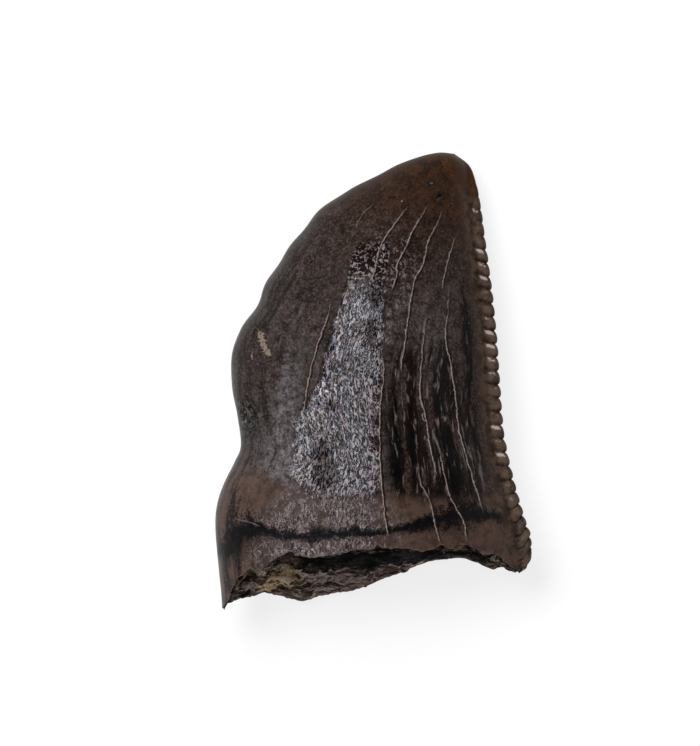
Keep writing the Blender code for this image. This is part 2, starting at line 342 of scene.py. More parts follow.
def wear_depth(x, y, side):
    """Depth of all the hollows of one face together."""
    depth = np.zeros_like(x)
    for middle, halves, deep in LABIAL_WEAR if side > 0 else LINGUAL_WEAR:
        depth += deep * soft_spot(x, y, middle, halves)
    return depth


print("wear places:", len(LABIAL_WEAR), "labial and", len(LINGUAL_WEAR), "lingual")

# %% [markdown]
# Relief from noise
#
# Between its hollows the enamel swells, and it carries fine lengthwise lines and grit. No
# one could place those by hand, so they come from smooth noise. Each layer of it has a
# height in millimetres, waves per millimetre across and along, its own level in the noise,
# so that no two layers are alike, and a number of octaves.

# %% Layers of noise
SWELLS = (0.05, 0.9, 0.28, 1.0, 1)
FINE_LINES = (0.012, 5.0, 0.6, 5.0, 3)
PITS = (0.13, 7.0, 6.0, 9.0, 3)
GRIT = (0.006, 4.0, 3.0, 13.0, 4)
ROUGH_PATCH = ((-4.15, -1.3), (0.5, 0.9))
FRACTAL_ROUGHNESS = 0.9
FRACTAL_STEP = 2.0


def field(x, y, z, octaves=1):
    """Smooth random values, from about -1 to 1, at every place of three equal grids."""
    places = np.stack(np.broadcast_arrays(x, y, z), axis=-1).reshape(-1, 3)
    if octaves == 1:
        values = [noise.noise(Vector(place)) for place in places]
    else:
        values = [noise.fractal(Vector(place), FRACTAL_ROUGHNESS, FRACTAL_STEP, octaves)
                  for place in places]
    return np.array(values).reshape(np.shape(x))


def noise_layer(layer, x, y, side=1.0):
    height, across, along, level, octaves = layer
    return height * field(x * across, y * along, level * side, octaves)


def relief(x, y, side):
    """Every change of height of one face: the noise, less the hollows of wear."""
    swells = noise_layer(SWELLS, x, y, side)
    lines = noise_layer(FINE_LINES, x, y, side)
    pits = soft_spot(x, y, *ROUGH_PATCH) * noise_layer(PITS, x, y, side)
    grit = noise_layer(GRIT, x, y, side)
    return swells + lines + pits + grit - wear_depth(x, y, side)


print("highest swells:", SWELLS[0], "mm, deepest pits:", PITS[0], "mm")

# %% [markdown]
# The broken rim
#
# The base snapped off along a ragged line. The labial rim is short and notched, the lingual
# rim stands further out below it. Both are drawn as plain chains of points, because a break
# has corners, with waves a hundredth of a millimetre high on top.

# %% The two rims
LABIAL_RIM = [
    (-5.30, -8.10), (-4.97, -7.53), (-4.77, -7.33), (-4.70, -7.04), (-4.57, -6.77),
    (-4.44, -6.54), (-4.24, -6.44), (-4.07, -6.21), (-3.81, -6.36), (-3.58, -6.21),
    (-3.41, -6.04), (-3.21, -5.89), (-2.98, -5.78), (-2.68, -5.63), (-2.55, -5.78),
    (-2.32, -5.78), (-1.99, -5.88), (-1.69, -5.81), (-1.16, -5.73), (-0.53, -5.58),
    (0.00, -5.58), (0.12, -5.38), (0.23, -5.55), (0.73, -5.55), (1.23, -5.58),
    (1.59, -5.68), (2.09, -5.55), (2.22, -5.41), (2.48, -5.58), (3.01, -5.41),
    (3.28, -5.58), (3.81, -5.81), (4.01, -5.66), (4.30, -5.98), (4.54, -6.24),
    (4.77, -6.34), (5.00, -6.24), (5.13, -6.01), (5.30, -5.70),
]
LINGUAL_RIM = [
    (-5.30, -7.70), (-4.97, -7.53), (-4.70, -7.43), (-4.44, -7.33), (-3.91, -7.24),
    (-3.64, -7.12), (-3.38, -7.14), (-2.85, -7.33), (-2.32, -7.45), (-1.79, -7.27),
    (-1.26, -7.17), (-0.73, -7.10), (-0.20, -6.95), (0.33, -6.69), (0.86, -6.51),
    (1.39, -6.27), (1.92, -6.08), (2.45, -6.01), (2.98, -5.98), (3.51, -6.14),
    (3.97, -6.36), (4.21, -6.27), (4.57, -6.27), (4.83, -6.32), (5.10, -6.04),
    (5.30, -5.70),
]
RIM_WAVES = [(0.010, 31.0, 0.0), (0.008, 53.0, 1.0)]


def rim_height(x, side):
    """Height at which the break cuts one face."""
    torn = sum(height * np.sin(x * waves + start) for height, waves, start in RIM_WAVES)
    return read_off(LABIAL_RIM if side > 0 else LINGUAL_RIM, x) + torn


print("rims:", len(LABIAL_RIM), "labial and", len(LINGUAL_RIM), "lingual points")

# %% [markdown]
# The columns of the mesh
#
# The columns run lengthwise, from the rim to the tip, and each keeps its place between the
# two edges. They are laid close together over the keel, where the serrations need them, and
# again at the mesial edge, where the section turns fastest. Each is cut where it meets
# its rim. Towards the tip the worn mesial edge waves a little.

# %% Where each column lies, and where it meets its rim
HALF_COLUMNS = 116
KEEL_COLUMNS = 16
KEEL_REACH = 0.62
KEEL_REACH_SHARE = 0.2
KEEL_CROWDING = 1.25
EVEN_SHARE = 0.45
BASE_ROWS_END = 0.34
SERRATION_HEIGHT = 0.09
SLIT_LENGTH = 0.42
SLIT_CHORD_SHARE = 0.14
SLIT_FADE = (0.8, 1.3)
FULL_SERRATION_CHORD = 3.0
EDGE_WAVE = 0.03
EDGE_WAVES = 82.0
EDGE_WAVE_START = (0.42, 0.60)
RIM_TRIALS = 900


def column_distance(column, chord):
    """Distance of a column from the distal edge."""
    keel = np.minimum(KEEL_REACH, KEEL_REACH_SHARE * chord)
    if column <= KEEL_COLUMNS:
        return keel * (column / KEEL_COLUMNS) ** KEEL_CROWDING
    turn = (column - KEEL_COLUMNS) / (HALF_COLUMNS - KEEL_COLUMNS)
    eased = EVEN_SHARE * turn + (1.0 - EVEN_SHARE) * math.sin(0.5 * math.pi * turn)
    return keel + (chord - keel) * eased


def plan_of(column, share, crest):
    """Where a column lies seen from above, with its distance from the edge and the chord."""
    mesial_x, mesial_y = point_on(MESIAL, share)
    wave = EDGE_WAVE * np.sin(EDGE_WAVES * share) * smooth_step(*EDGE_WAVE_START, share)
    mesial_x = mesial_x + wave
    distal_x, distal_y = point_on(DISTAL, share)
    chord = np.hypot(distal_x - mesial_x, distal_y - mesial_y)
    distance = column_distance(column, chord)
    slit = np.minimum(SLIT_LENGTH, SLIT_CHORD_SHARE * chord)
    on_keel = 1.0 - smooth_step(*SLIT_FADE, distance / slit)
    reach = on_keel * np.minimum(1.0, chord / FULL_SERRATION_CHORD)
    inset = distance - SERRATION_HEIGHT * (crest - WORN_CREST) * reach
    x = distal_x + (mesial_x - distal_x) / chord * inset
    y = distal_y + (mesial_y - distal_y) / chord * inset
    return x, y, distance, chord, on_keel


def rim_share(column, side):
    """Share of the length at which a column comes up through its rim."""
    share = np.linspace(0.0, BASE_ROWS_END, RIM_TRIALS)
    x, y, *_ = plan_of(column, share, WORN_CREST)
    above = y - rim_height(x, side)
    below = np.nonzero(above <= 0.0)[0][-1]
    part = above[below] / (above[below] - above[below + 1])
    return share[below] + part * (share[1] - share[0])


print("columns:", 2 * HALF_COLUMNS)

# %% [markdown]
# Both faces
#
# Now the two faces are worked out as grids: one row for each place along the crown, one
# column for each place across it. Near the base the rows are drawn down to meet the rim.
# The lowest part of the lingual face is level: it is the worn flat that the tooth rests on.

# %% The two faces as grids of places
SLIT_SHARE = 0.32
RELIEF_FADE = 0.5


def face_grid(side):
    """x, y, z, distance from the distal edge, chord and length share of every point."""
    columns = []
    for column in range(HALF_COLUMNS + 1):
        start = rim_share(column, side)
        stretch = (BASE_ROWS_END - start) / (BASE_ROWS_END - RIM_SHARE)
        lowered = BASE_ROWS_END - (BASE_ROWS_END - ROW_SHARES) * stretch
        share = np.where(ROW_SHARES < BASE_ROWS_END, lowered, ROW_SHARES)
        x, y, distance, chord, on_keel = plan_of(column, share, ROW_CRESTS)
        height = np.zeros_like(x)
        if 0 < column < HALF_COLUMNS:
            height = face_height(distance, chord, share, side)
            height = height * (1.0 - SLIT_SHARE * on_keel * (1.0 - ROW_CRESTS))
            height = height + relief(x, y, side) * smooth_step(0.0, RELIEF_FADE, height)
        z = np.maximum(middle_height(share) + side * height, 0.0)
        columns.append([x, y, z, distance, chord, share])
    return np.array(columns).transpose(1, 2, 0)


labial = face_grid(1)
lingual = face_grid(-1)
print("labial grid:", labial.shape[1:], "highest point:", round(float(labial[2].max()), 2), "mm")

# %% [markdown]
# The broken face
#
# Looking at the base from below, the break shows a thin enamel rim, the dentine wall inside
# it and, in the middle, the slot of the pulp hollow, packed with hardened sediment. One band
# of points runs from the labial rim to the lingual rim under each pair of columns, so the
# face closes the mesh with no gap.

# %% Bands across the break
BREAK_STEPS = [
    (0.00, 0.00, 0.00), (0.10, 0.06, 0.03), (0.19, 0.20, 0.06), (0.27, 0.95, 0.08),
    (0.45, 1.00, 0.16), (0.57, 0.55, 0.30), (0.72, 0.10, 0.70), (0.86, 0.02, 0.92),
    (1.00, 0.00, 1.00),
]
PULP_DEPTH = 0.95
PULP_MIDDLE_X = -0.3
PULP_HALF_WIDTH = 3.15
PULP_EDGE = 1.0
BREAK_SWELLS = (0.26, 1.3, 1.1, 4.0, 1)
BREAK_GRIT = (0.20, 2.6, 3.4, 8.0, 4)
LEDGES = 6.0
LEDGE_STEP = 0.16
LEDGE_WANDER = (0.9, 0.7, 0.9, 15.0, 1)
BREAK_POINTS = 60


def break_bands():
    """Places of the inner points of every band, with depth marks for the finish."""
    shares, pulp, fall = np.array(BREAK_STEPS).T
    across = np.linspace(0.0, 1.0, BREAK_POINTS + 2)[1:-1][:, None]
    top, bottom = labial[:3, 0, 1:-1], lingual[:3, 0, 1:-1]
    x = top[0] + (bottom[0] - top[0]) * across
    z = top[2] + (bottom[2] - top[2]) * across
    slope = np.interp(across, shares, fall)
    y = top[1] + (bottom[1] - top[1]) * slope
    slot = 1.0 - smooth_step(PULP_HALF_WIDTH - PULP_EDGE, PULP_HALF_WIDTH + PULP_EDGE,
                             np.abs(x - PULP_MIDDLE_X))
    hollow = np.interp(across, shares, pulp) * slot
    inside = np.sin(math.pi * across) ** 0.5
    y = y + PULP_DEPTH * hollow
    y = y + inside * noise_layer(BREAK_SWELLS, x, z)
    y = y + inside * noise_layer(BREAK_GRIT, x, z)
    leaf = LEDGES * across + noise_layer(LEDGE_WANDER, x, z)
    y = y + LEDGE_STEP * inside * (leaf - np.floor(leaf))
    return x, y, z, hollow, across + 0.0 * x


bands = break_bands()
print("break:", bands[0].shape, "points")

# %% [markdown]
# The mesh
#
# Rings go round the crown: over the labial face from the distal edge to the mesial one, then
# back under the lingual face. The edges belong to both faces, so they are shared. One point
# closes the tip, and the bands of the break close the base. The faces of the break get their
# own material slot from the start.

# %% Rings, skin, tip and break
rows = len(ROW_SHARES)
ring = 2 * HALF_COLUMNS
rings = np.concatenate([labial, lingual[:, :, -2:0:-1]], axis=2)
ring_sides = np.array([1.0] * (HALF_COLUMNS + 1) + [-1.0] * (HALF_COLUMNS - 1))
peak_x, peak_y = point_on(DISTAL, 1.0)
peak = np.array([[float(peak_x), float(peak_y), float(labial[2, -1, 0])]])
crown_points = rings[:3].reshape(3, -1).T
band_points = np.stack(bands[:3]).reshape(3, -1).T
points = np.vstack([crown_points, peak, band_points])


def skin_faces():
    faces = []
    for row in range(rows - 1):
        for place in range(ring):
            following = (place + 1) % ring
            low, high = row * ring, (row + 1) * ring
            faces.append((low + place, low + following, high + following, high + place))
    top_ring = (rows - 1) * ring
    tip = rows * ring
    faces += [(top_ring + place, top_ring + (place + 1) % ring, tip) for place in range(ring)]
    return faces


def break_faces():
    first = rows * ring + 1
    width = HALF_COLUMNS - 1

    def band(column):
        if column in (0, HALF_COLUMNS):
            return [column] * (BREAK_POINTS + 2)
        inner = [first + step * width + column - 1 for step in range(BREAK_POINTS)]
        return [column] + inner + [ring - column]

    faces = []
    for column in range(HALF_COLUMNS):
        left, right = band(column), band(column + 1)
        for step in range(BREAK_POINTS + 1):
            corners = [left[step], left[step + 1], right[step + 1], right[step]]
            faces.append(tuple(dict.fromkeys(corners)))
    return faces


outer, broken = skin_faces(), break_faces()
mesh = bpy.data.meshes.new("tooth")
mesh.from_pydata((points * MM).tolist(), [], outer + broken)
finish_of_face = np.array([0] * len(outer) + [1] * len(broken))
mesh.polygons.foreach_set("material_index", finish_of_face)
tooth = bpy.data.objects.new("tooth", mesh)
bpy.context.scene.collection.objects.link(tooth)
print("skin:", len(outer), "faces, break:", len(broken), "faces")

# %% [markdown]
# Fit and shading
#
# The outline was drawn round a middle of its own, and the solid has another, so the mesh
# is moved until both middles agree. Its faces are turned outwards and shaded smooth. Only
# the rim of the break and steep folds are marked sharp, so that the light breaks there.

# %% Fit it over the solid and turn its faces out
SHARP_ANGLE = math.radians(75)
bm = bmesh.new()
bm.from_mesh(mesh)
bmesh.ops.recalc_face_normals(bm, faces=bm.faces)
for edge in bm.edges:
    meets_break = len({face.material_index for face in edge.link_faces}) == 2
    edge.smooth = not meets_break and edge.calc_face_angle(0.0) < SHARP_ANGLE
for face in bm.faces:
    face.smooth = True
bm.to_mesh(mesh)
bm.free()
low, high = points.min(axis=0), points.max(axis=0)
middle = 0.5 * (low + high)
solid_middle = 0.5 * (tooth_low + tooth_high) / MM
SHIFT = np.array([solid_middle.x - middle[0], solid_middle.y - middle[1], 0.0])
mesh.transform(Matrix.Translation(SHIFT * MM))
mesh.update()
print("tooth:", len(mesh.vertices), "points,", (high - low).round(2), "mm, shift", SHIFT.round(3))

# %% [markdown]
# Hairline cracks
#
# Ages of drying left long pale hairlines in the enamel, finer than any face of the mesh. A
# painted picture could show them, but it would blur close up. Instead every point stores how
# far it lies from the nearest crack, and on which side. The finish then draws a thin crisp
# line where that distance is nearly nothing, with a shaded lip beside it. Neighbouring
# cracks are put in two families, each with its own distances, so that two lines that run
# close together don't disturb each other.

# %% Where the cracks run, and how open each is
LABIAL_CRACKS = [
    ([(1.17, 5.75), (0.79, 5.19), (0.36, 4.59), (0.17, 4.13), (0.06, 3.57), (-0.07, 3.16)], 0.8),
    ([(1.85, 5.79), (1.42, 5.08), (1.07, 4.35), (0.79, 3.73), (0.78, 3.43), (0.57, 2.81)], 0.9),
    ([(2.33, 5.65), (2.12, 5.11), (1.87, 4.65), (1.72, 4.12), (1.62, 3.68), (1.37, 3.24),
      (1.19, 2.32), (1.03, 1.11), (0.93, 0.57), (0.91, 0.12)], 0.9),
    ([(2.75, 4.72), (2.52, 4.04), (2.34, 3.32), (2.30, 2.96)], 0.8),
    ([(2.52, 3.12), (2.46, 2.20), (2.39, 1.25), (2.55, 0.55), (2.73, -0.71), (2.81, -1.59),
      (3.10, -2.67), (3.40, -3.67), (3.67, -4.51)], 1.0),
    ([(1.78, 2.20), (1.63, 1.11), (1.54, -0.45), (1.73, -1.29), (1.83, -2.03),
      (1.99, -2.78), (2.11, -3.24)], 1.0),
    ([(2.09, -1.92), (2.26, -2.74), (2.46, -3.65), (2.62, -4.08), (2.97, -4.70),
      (3.10, -5.41)], 0.9),
    ([(1.47, -2.94), (1.56, -3.43), (1.88, -4.12), (2.06, -4.92), (2.20, -5.45)], 0.8),
    ([(0.26, 0.84), (0.35, 0.28), (0.24, -0.71), (0.20, -2.04), (0.28, -3.49),
      (0.40, -4.69), (0.50, -5.15)], 1.0),
    ([(-1.34, 2.66), (-1.58, 1.78), (-1.90, 0.89), (-2.12, -0.02), (-2.24, -0.68),
      (-2.32, -1.31)], 0.8),
    ([(-4.63, -4.60), (-4.25, -4.66), (-3.91, -4.76), (-3.69, -4.87)], 0.30),
    ([(0.06, 5.83), (-0.38, 5.39), (-0.58, 4.95)], 0.25),
    ([(1.66, -1.10), (1.62, -1.30), (1.78, -1.42)], 0.8),
    ([(-0.75, 1.60), (-0.53, 1.77), (-0.30, 1.84), (-0.08, 1.92)], 0.6),
]
LINGUAL_CRACKS = [
    ([(0.90, 5.40), (0.30, 4.10), (0.10, 2.40), (0.25, 0.60), (0.05, -1.40), (0.30, -3.60),
      (0.20, -5.80)], 1.0),
    ([(2.20, 4.90), (1.70, 3.10), (1.75, 1.00), (1.95, -1.10), (2.40, -3.20)], 0.9),
    ([(-0.90, 3.60), (-1.60, 1.90), (-2.00, -0.20), (-2.10, -2.30)], 0.8),
    ([(3.00, 1.90), (3.05, -0.20), (3.35, -2.40), (3.90, -4.60)], 0.8),
    ([(-3.20, -3.40), (-3.05, -4.90), (-3.30, -6.40)], 0.7),
]
print("cracks:", len(LABIAL_CRACKS), "labial and", len(LINGUAL_CRACKS), "lingual")

# %% [markdown]
# Distances from the cracks
#
# Each crack is cut into short straight runs, and every point of the mesh looks for the run
# nearest to it. A crack opens gently from its first point and closes at its last.

# %% Distance of every point from the nearest crack
CRACK_FAMILIES = (0, 1)
CRACK_STEPS = 5
CRACK_OPENS = (-0.10, 0.30)
CRACK_BEGINS = (0.0, 0.05)
CRACK_CLOSES = (0.90, 1.0)
NO_CRACK = 0.6
CRACK_REACH = 0.30


def crack_marks(x, y, cracks):
    """Signed distance to the nearest crack, and how open that crack is there."""
    offset = np.full_like(x, NO_CRACK)
    depth = np.zeros_like(x)
    for places, strength in cracks:
        line = smooth_points(places, CRACK_STEPS)
        for number, (start, end) in enumerate(zip(line, line[1:])):
            run = end - start
            along = ((x - start[0]) * run[0] + (y - start[1]) * run[1]) / (run @ run)
            along = np.clip(along, 0.0, 1.0)
            gap_x, gap_y = x - start[0] - along * run[0], y - start[1] - along * run[1]
            gap = np.hypot(gap_x, gap_y)
            nearer = gap < np.abs(offset)
            facing = np.where(run[0] * gap_y - run[1] * gap_x > 0.0, 1.0, -1.0)
            share = (number + along) / (len(line) - 1)
            fade = smooth_step(*CRACK_OPENS, share) * (1.0 - smooth_step(*CRACK_CLOSES, share))
            fade = fade * smooth_step(*CRACK_BEGINS, share)
            offset = np.where(nearer, gap * facing, offset)
            depth = np.where(nearer, strength * fade, depth)
    return offset, depth * (1.0 - smooth_step(0.5 * CRACK_REACH, CRACK_REACH, np.abs(offset)))


ring_x, ring_y = rings[0], rings[1]
side_grid = np.broadcast_to(ring_sides, ring_x.shape)
crack_families = [
    np.where(side_grid > 0, crack_marks(ring_x, ring_y, LABIAL_CRACKS[family::2]),
             crack_marks(ring_x, ring_y, LINGUAL_CRACKS[family::2]))
    for family in CRACK_FAMILIES]
near = [int((abs(offset) < CRACK_REACH).sum()) for offset, opening in crack_families]
print("points near a crack, by family:", near)

# %% [markdown]
# Zones of colour
#
# The enamel changes over the crown: a warm brown tip, a mesial margin painted greyish as a
# grazing sheen, a broad wrinkled patch along the crest with a painted cool sheen, a
# black-streaked field towards the serrations, and a smooth basal band crossed by a dark wavy
# stain. Each zone is written as a spine: a few heights with the middle and the half width
# there. The fine grain inside each comes later, from noise.

# %% Where the zones lie
SHEEN_SPINE = [
    (4.60, 0.10, 0.50), (4.10, -0.05, 0.65), (3.43, -0.23, 0.65), (2.50, -0.33, 0.73),
    (1.71, -0.51, 0.88), (0.91, -0.63, 0.96), (0.08, -0.73, 1.03), (-0.71, -0.98, 1.20),
    (-1.37, -1.20, 1.42), (-2.70, -1.28, 1.50), (-3.36, -1.20, 1.42), (-3.95, -0.94, 1.14),
]
# Where flecks of painted highlight, and the wrinkles under them, spread beyond the patch.
SHEEN_FLECK_SPINE = [
    (4.90, 0.60, 0.60), (4.00, 0.65, 0.95), (3.00, 0.45, 0.95), (2.00, 0.10, 0.85),
    (0.80, -0.40, 1.00), (-0.60, -0.90, 1.25), (-2.50, -1.20, 1.55), (-4.00, -1.40, 1.90),
    (-4.60, -1.50, 2.60), (-6.20, -1.80, 2.60),
]
GLOSS_SPINE = [
    (3.50, -0.25, 0.35), (2.50, -0.38, 0.62), (1.71, -0.50, 0.76), (0.91, -0.60, 0.82),
    (0.08, -0.70, 0.90), (-0.71, -0.96, 1.08), (-1.37, -1.20, 1.32), (-2.70, -1.30, 1.44),
    (-3.36, -1.22, 1.36), (-3.80, -0.96, 1.08),
]
STREAK_SPINE = [
    (1.20, 1.70, 0.90), (0.40, 1.70, 1.20), (-0.80, 1.65, 1.45), (-2.20, 1.85, 1.65),
    (-3.30, 2.10, 1.75), (-4.10, 2.30, 1.40),
]
BLACK_SPINES = [
    [(-0.40, 0.70, 0.08), (-1.60, 0.72, 0.20), (-3.00, 0.75, 0.24), (-4.00, 0.78, 0.14)],
    [(0.90, 1.30, 0.06), (-0.80, 1.24, 0.12), (-1.80, 1.27, 0.20), (-3.40, 1.42, 0.14)],
    [(-1.20, 2.30, 0.12), (-2.20, 2.40, 0.36), (-3.20, 2.62, 0.48), (-4.05, 2.75, 0.28)],
    [(0.90, 2.00, 0.04), (0.00, 2.05, 0.10), (-1.60, 2.15, 0.18), (-2.60, 2.20, 0.08)],
    [(3.20, 2.90, 0.06), (1.80, 3.08, 0.16), (0.00, 3.14, 0.18), (-1.60, 3.30, 0.18),
     (-3.20, 3.60, 0.08)],
]
STAIN_LINE = [
    (-5.40, -5.90), (-4.95, -5.60), (-4.40, -5.15), (-4.00, -4.85), (-3.60, -5.00),
    (-2.90, -5.13), (-2.20, -5.18), (-1.50, -5.10), (-0.70, -5.02), (0.20, -5.02),
    (1.10, -4.90), (1.80, -4.72), (2.50, -4.50), (3.10, -4.42), (3.65, -4.45),
    (4.30, -4.62), (5.30, -4.90),
]
STAIN_WIDTH = [
    (-5.20, 0.12), (-4.90, 0.36), (-4.30, 0.46), (-3.90, 0.30), (-3.50, 0.15), (-2.90, 0.15),
    (-2.40, 0.10), (-2.00, 0.17), (-1.40, 0.12), (-0.60, 0.14), (0.20, 0.09), (0.60, 0.08),
    (1.30, 0.13), (2.10, 0.24), (2.60, 0.36), (3.40, 0.32), (3.75, 0.12), (4.20, 0.14),
    (4.90, 0.26),
]
BAND_TOP = [(-5.30, -2.70), (-4.40, -2.90), (-2.90, -3.45), (-1.50, -3.75), (0.50, -3.85),
            (1.50, -3.95), (3.00, -4.05), (4.60, -3.70)]


print("black streaks with a place of their own:", len(BLACK_SPINES))

# %% [markdown]
# From lists to soft masks
#
# A mask is a value at every point of the mesh, 1 inside a zone and 0 outside. Round a spine it
# falls with the distance across, counted in half widths. The stain keeps that distance
# itself, so the finish can fray it later.

# %% Masks along spines, the stain and the basal band
CRISP = (0.70, 1.15)
SOFT = (0.30, 1.25)
LOWER_END = (-0.3, 0.3)
UPPER_END = (-0.5, 0.3)
BAND_EDGE = (-0.25, 0.25)


def spine_mask(x, y, spine, edge=CRISP):
    """A soft zone along a spine of (height, middle, half width)."""
    heights, middles, halves = np.array(spine[::-1]).T
    reach = np.abs(x - np.interp(y, heights, middles)) / np.interp(y, heights, halves)
    begins = smooth_step(heights[0] + LOWER_END[0], heights[0] + LOWER_END[1], y)
    stops = smooth_step(heights[-1] + UPPER_END[0], heights[-1] + UPPER_END[1], y)
    return (1.0 - smooth_step(*edge, reach)) * begins * (1.0 - stops)


stain_offset = (ring_y - read_off(STAIN_LINE, ring_x)) / read_off(STAIN_WIDTH, ring_x)
band_share = 1.0 - smooth_step(*BAND_EDGE, ring_y - read_off(BAND_TOP, ring_x))
print("sheen covers", round(float(spine_mask(ring_x, ring_y, SHEEN_SPINE).mean()), 3))

# %% [markdown]
# Spots and strokes
#
# Smaller marks are soft round spots, each with a middle and half sizes across and along: dusk
# where the worn patch is dull, scars, pits and pinholes, patches of painted satin sheen and
# chips. The painted shade line of the groove and the edge of the long chip are strokes, drawn
# with the tool made for the cracks.

# %% Spots and strokes of the outer face
DUSK_SPOTS = [((-1.72, -2.40), (0.42, 0.55)), ((-1.55, -3.25), (0.50, 0.42)),
              ((-1.33, -0.90), (0.30, 0.25)), ((-0.20, 4.30), (0.40, 0.40)),
              ((0.05, 2.70), (0.25, 0.50)), ((-0.05, 1.40), (0.22, 0.60))]
SCAR_SPOTS = [((-0.63, 1.34), (0.26, 0.26)), ((-0.55, 2.95), (0.32, 0.28)),
              ((0.02, 3.25), (0.18, 0.38))]
PIT_SPOTS = [((-4.20, -1.30), (0.38, 0.75)), ((2.19, 6.01), (0.09, 0.08)),
             ((1.90, 6.44), (0.13, 0.06)), ((2.60, 5.80), (0.05, 0.09)),
             ((0.66, 5.98), (0.12, 0.04)), ((-2.35, 3.45), (0.12, 0.06))]
# Patches of painted satin sheen.
SATIN_SHEEN_SPOTS = [((-2.75, -0.20), (0.35, 0.90)), ((-2.95, -1.60), (0.60, 1.10)),
               ((-2.90, -2.90), (0.85, 0.80))]
FAINT_SATIN_SHEEN_SPOTS = [((1.75, 1.60), (1.00, 1.70)), ((-2.50, 1.60), (0.60, 1.10))]
FAINT_SATIN_SHEEN = 0.40
CHIP_SPOTS = [((0.94, 5.86), (0.03, 0.03)), ((-3.99, 0.74), (0.04, 0.10))]
CHIP_LINE = [([(-3.78, 1.62), (-3.68, 1.34), (-3.60, 1.08), (-3.36, 0.68)], 1.0)]
CHIP_HALF_WIDTH = 0.10
# The groove is only painted: a line of painted shade along it.
GROOVE_SHADE = [([(-2.45, 3.66), (-3.11, 2.50), (-3.53, 1.66)], 1.0)]
GROOVE_SHADE_HALF_WIDTH = 0.05
on_labial = side_grid > 0


def spot_mask(x, y, spots):
    total = sum(soft_spot(x, y, middle, halves) for middle, halves in spots)
    return np.clip(total, 0.0, 1.0)


def soft_line(line, half_width):
    """A soft stroke along a chain of points."""
    offset, depth = crack_marks(ring_x, ring_y, line)
    return depth * np.exp(-((offset / half_width) ** 2))


chip = np.maximum(spot_mask(ring_x, ring_y, CHIP_SPOTS), soft_line(CHIP_LINE, CHIP_HALF_WIDTH))
satin = np.maximum(spot_mask(ring_x, ring_y, SATIN_SHEEN_SPOTS),
                   FAINT_SATIN_SHEEN * spot_mask(ring_x, ring_y, FAINT_SATIN_SHEEN_SPOTS))
print("spots:", len(DUSK_SPOTS + SCAR_SPOTS + PIT_SPOTS + SATIN_SHEEN_SPOTS + CHIP_SPOTS))

# %% [markdown]
# Marks on the mesh
#
# The finish reads these masks from the mesh itself, as named values stored at its points.
# Some marks are plain measures: how far a point lies from each edge, from the rim and along
# the crown, and how high and how polished its serration is. Where the crown's own measure
# has no meaning, at the tip or inside the break, a value far off or well inside stands in.

# %% Store the marks of the crown
crown_count = rows * ring
distance_grid, chord_grid, share_grid = rings[3:]
NOMINAL_CHORD = 9.0
NOMINAL_LENGTH = 15.5
SMALLEST_CHORD = 0.05
FAR = 9.0
INSIDE = 5.0


def store(name, crown_values, break_values=0.0, tip_value=0.0):
    """Keep one value for every point: the crown's rings, the tip, then the break."""
    values = np.zeros(len(mesh.vertices), np.float32)
    values[:crown_count] = np.asarray(crown_values).reshape(-1)
    values[crown_count] = tip_value
    values[crown_count + 1:] = np.asarray(break_values).reshape(-1)
    mark = mesh.attributes.new(name, "FLOAT", "POINT")
    mark.data.foreach_set("value", values)


def store_place():
    """A place in the crown's own grain: round it on a circle, so no seam shows, and along it."""
    places = np.zeros((len(mesh.vertices), 3), np.float32)
    turn = math.pi * side_grid * distance_grid / np.maximum(chord_grid, SMALLEST_CHORD)
    radius = NOMINAL_CHORD / math.pi
    places[:crown_count, 0] = (radius * np.sin(turn)).reshape(-1)
    places[:crown_count, 1] = (radius * np.cos(turn)).reshape(-1)
    places[:crown_count, 2] = (share_grid * NOMINAL_LENGTH).reshape(-1)
    places[crown_count, 2] = NOMINAL_LENGTH
    mark = mesh.attributes.new("crown_place", "FLOAT_VECTOR", "POINT")
    mark.data.foreach_set("vector", places.reshape(-1))


store_place()
for family, (offset, opening) in zip(CRACK_FAMILIES, crack_families):
    store(f"crack_offset_{family}", offset, NO_CRACK, NO_CRACK)
    store(f"crack_opening_{family}", opening)
store("sheen", spine_mask(ring_x, ring_y, SHEEN_SPINE))
store("streak", spine_mask(ring_x, ring_y, STREAK_SPINE))
store("stain", stain_offset, FAR, FAR)
store("basal_band", band_share, 1.0)
store("fleck", spine_mask(ring_x, ring_y, SHEEN_FLECK_SPINE, SOFT))
for name, spots in (("dusk", DUSK_SPOTS), ("scar", SCAR_SPOTS), ("pit", PIT_SPOTS)):
    store(name, spot_mask(ring_x, ring_y, spots) * on_labial)
black = np.max([spine_mask(ring_x, ring_y, spine) for spine in BLACK_SPINES], axis=0)
groove = soft_line(GROOVE_SHADE, GROOVE_SHADE_HALF_WIDTH)
for name, mask in (("black", black), ("chip", chip), ("satin", satin), ("groove", groove)):
    store(name, mask * on_labial)
store("from_mesial", chord_grid - distance_grid, INSIDE)
store("from_distal", distance_grid, INSIDE)
store("tipward", share_grid, 0.0, 1.0)
rims = np.where(on_labial, rim_height(ring_x, 1), rim_height(ring_x, -1))
store("from_rim", ring_y - rims, 0.0, FAR)
store("crest", np.broadcast_to(ROW_CRESTS[:, None], ring_x.shape), WORN_CREST, WORN_CREST)
store("glint", np.broadcast_to(ROW_GLINTS[:, None], ring_x.shape))
print("marks of the crown:", len(mesh.attributes))
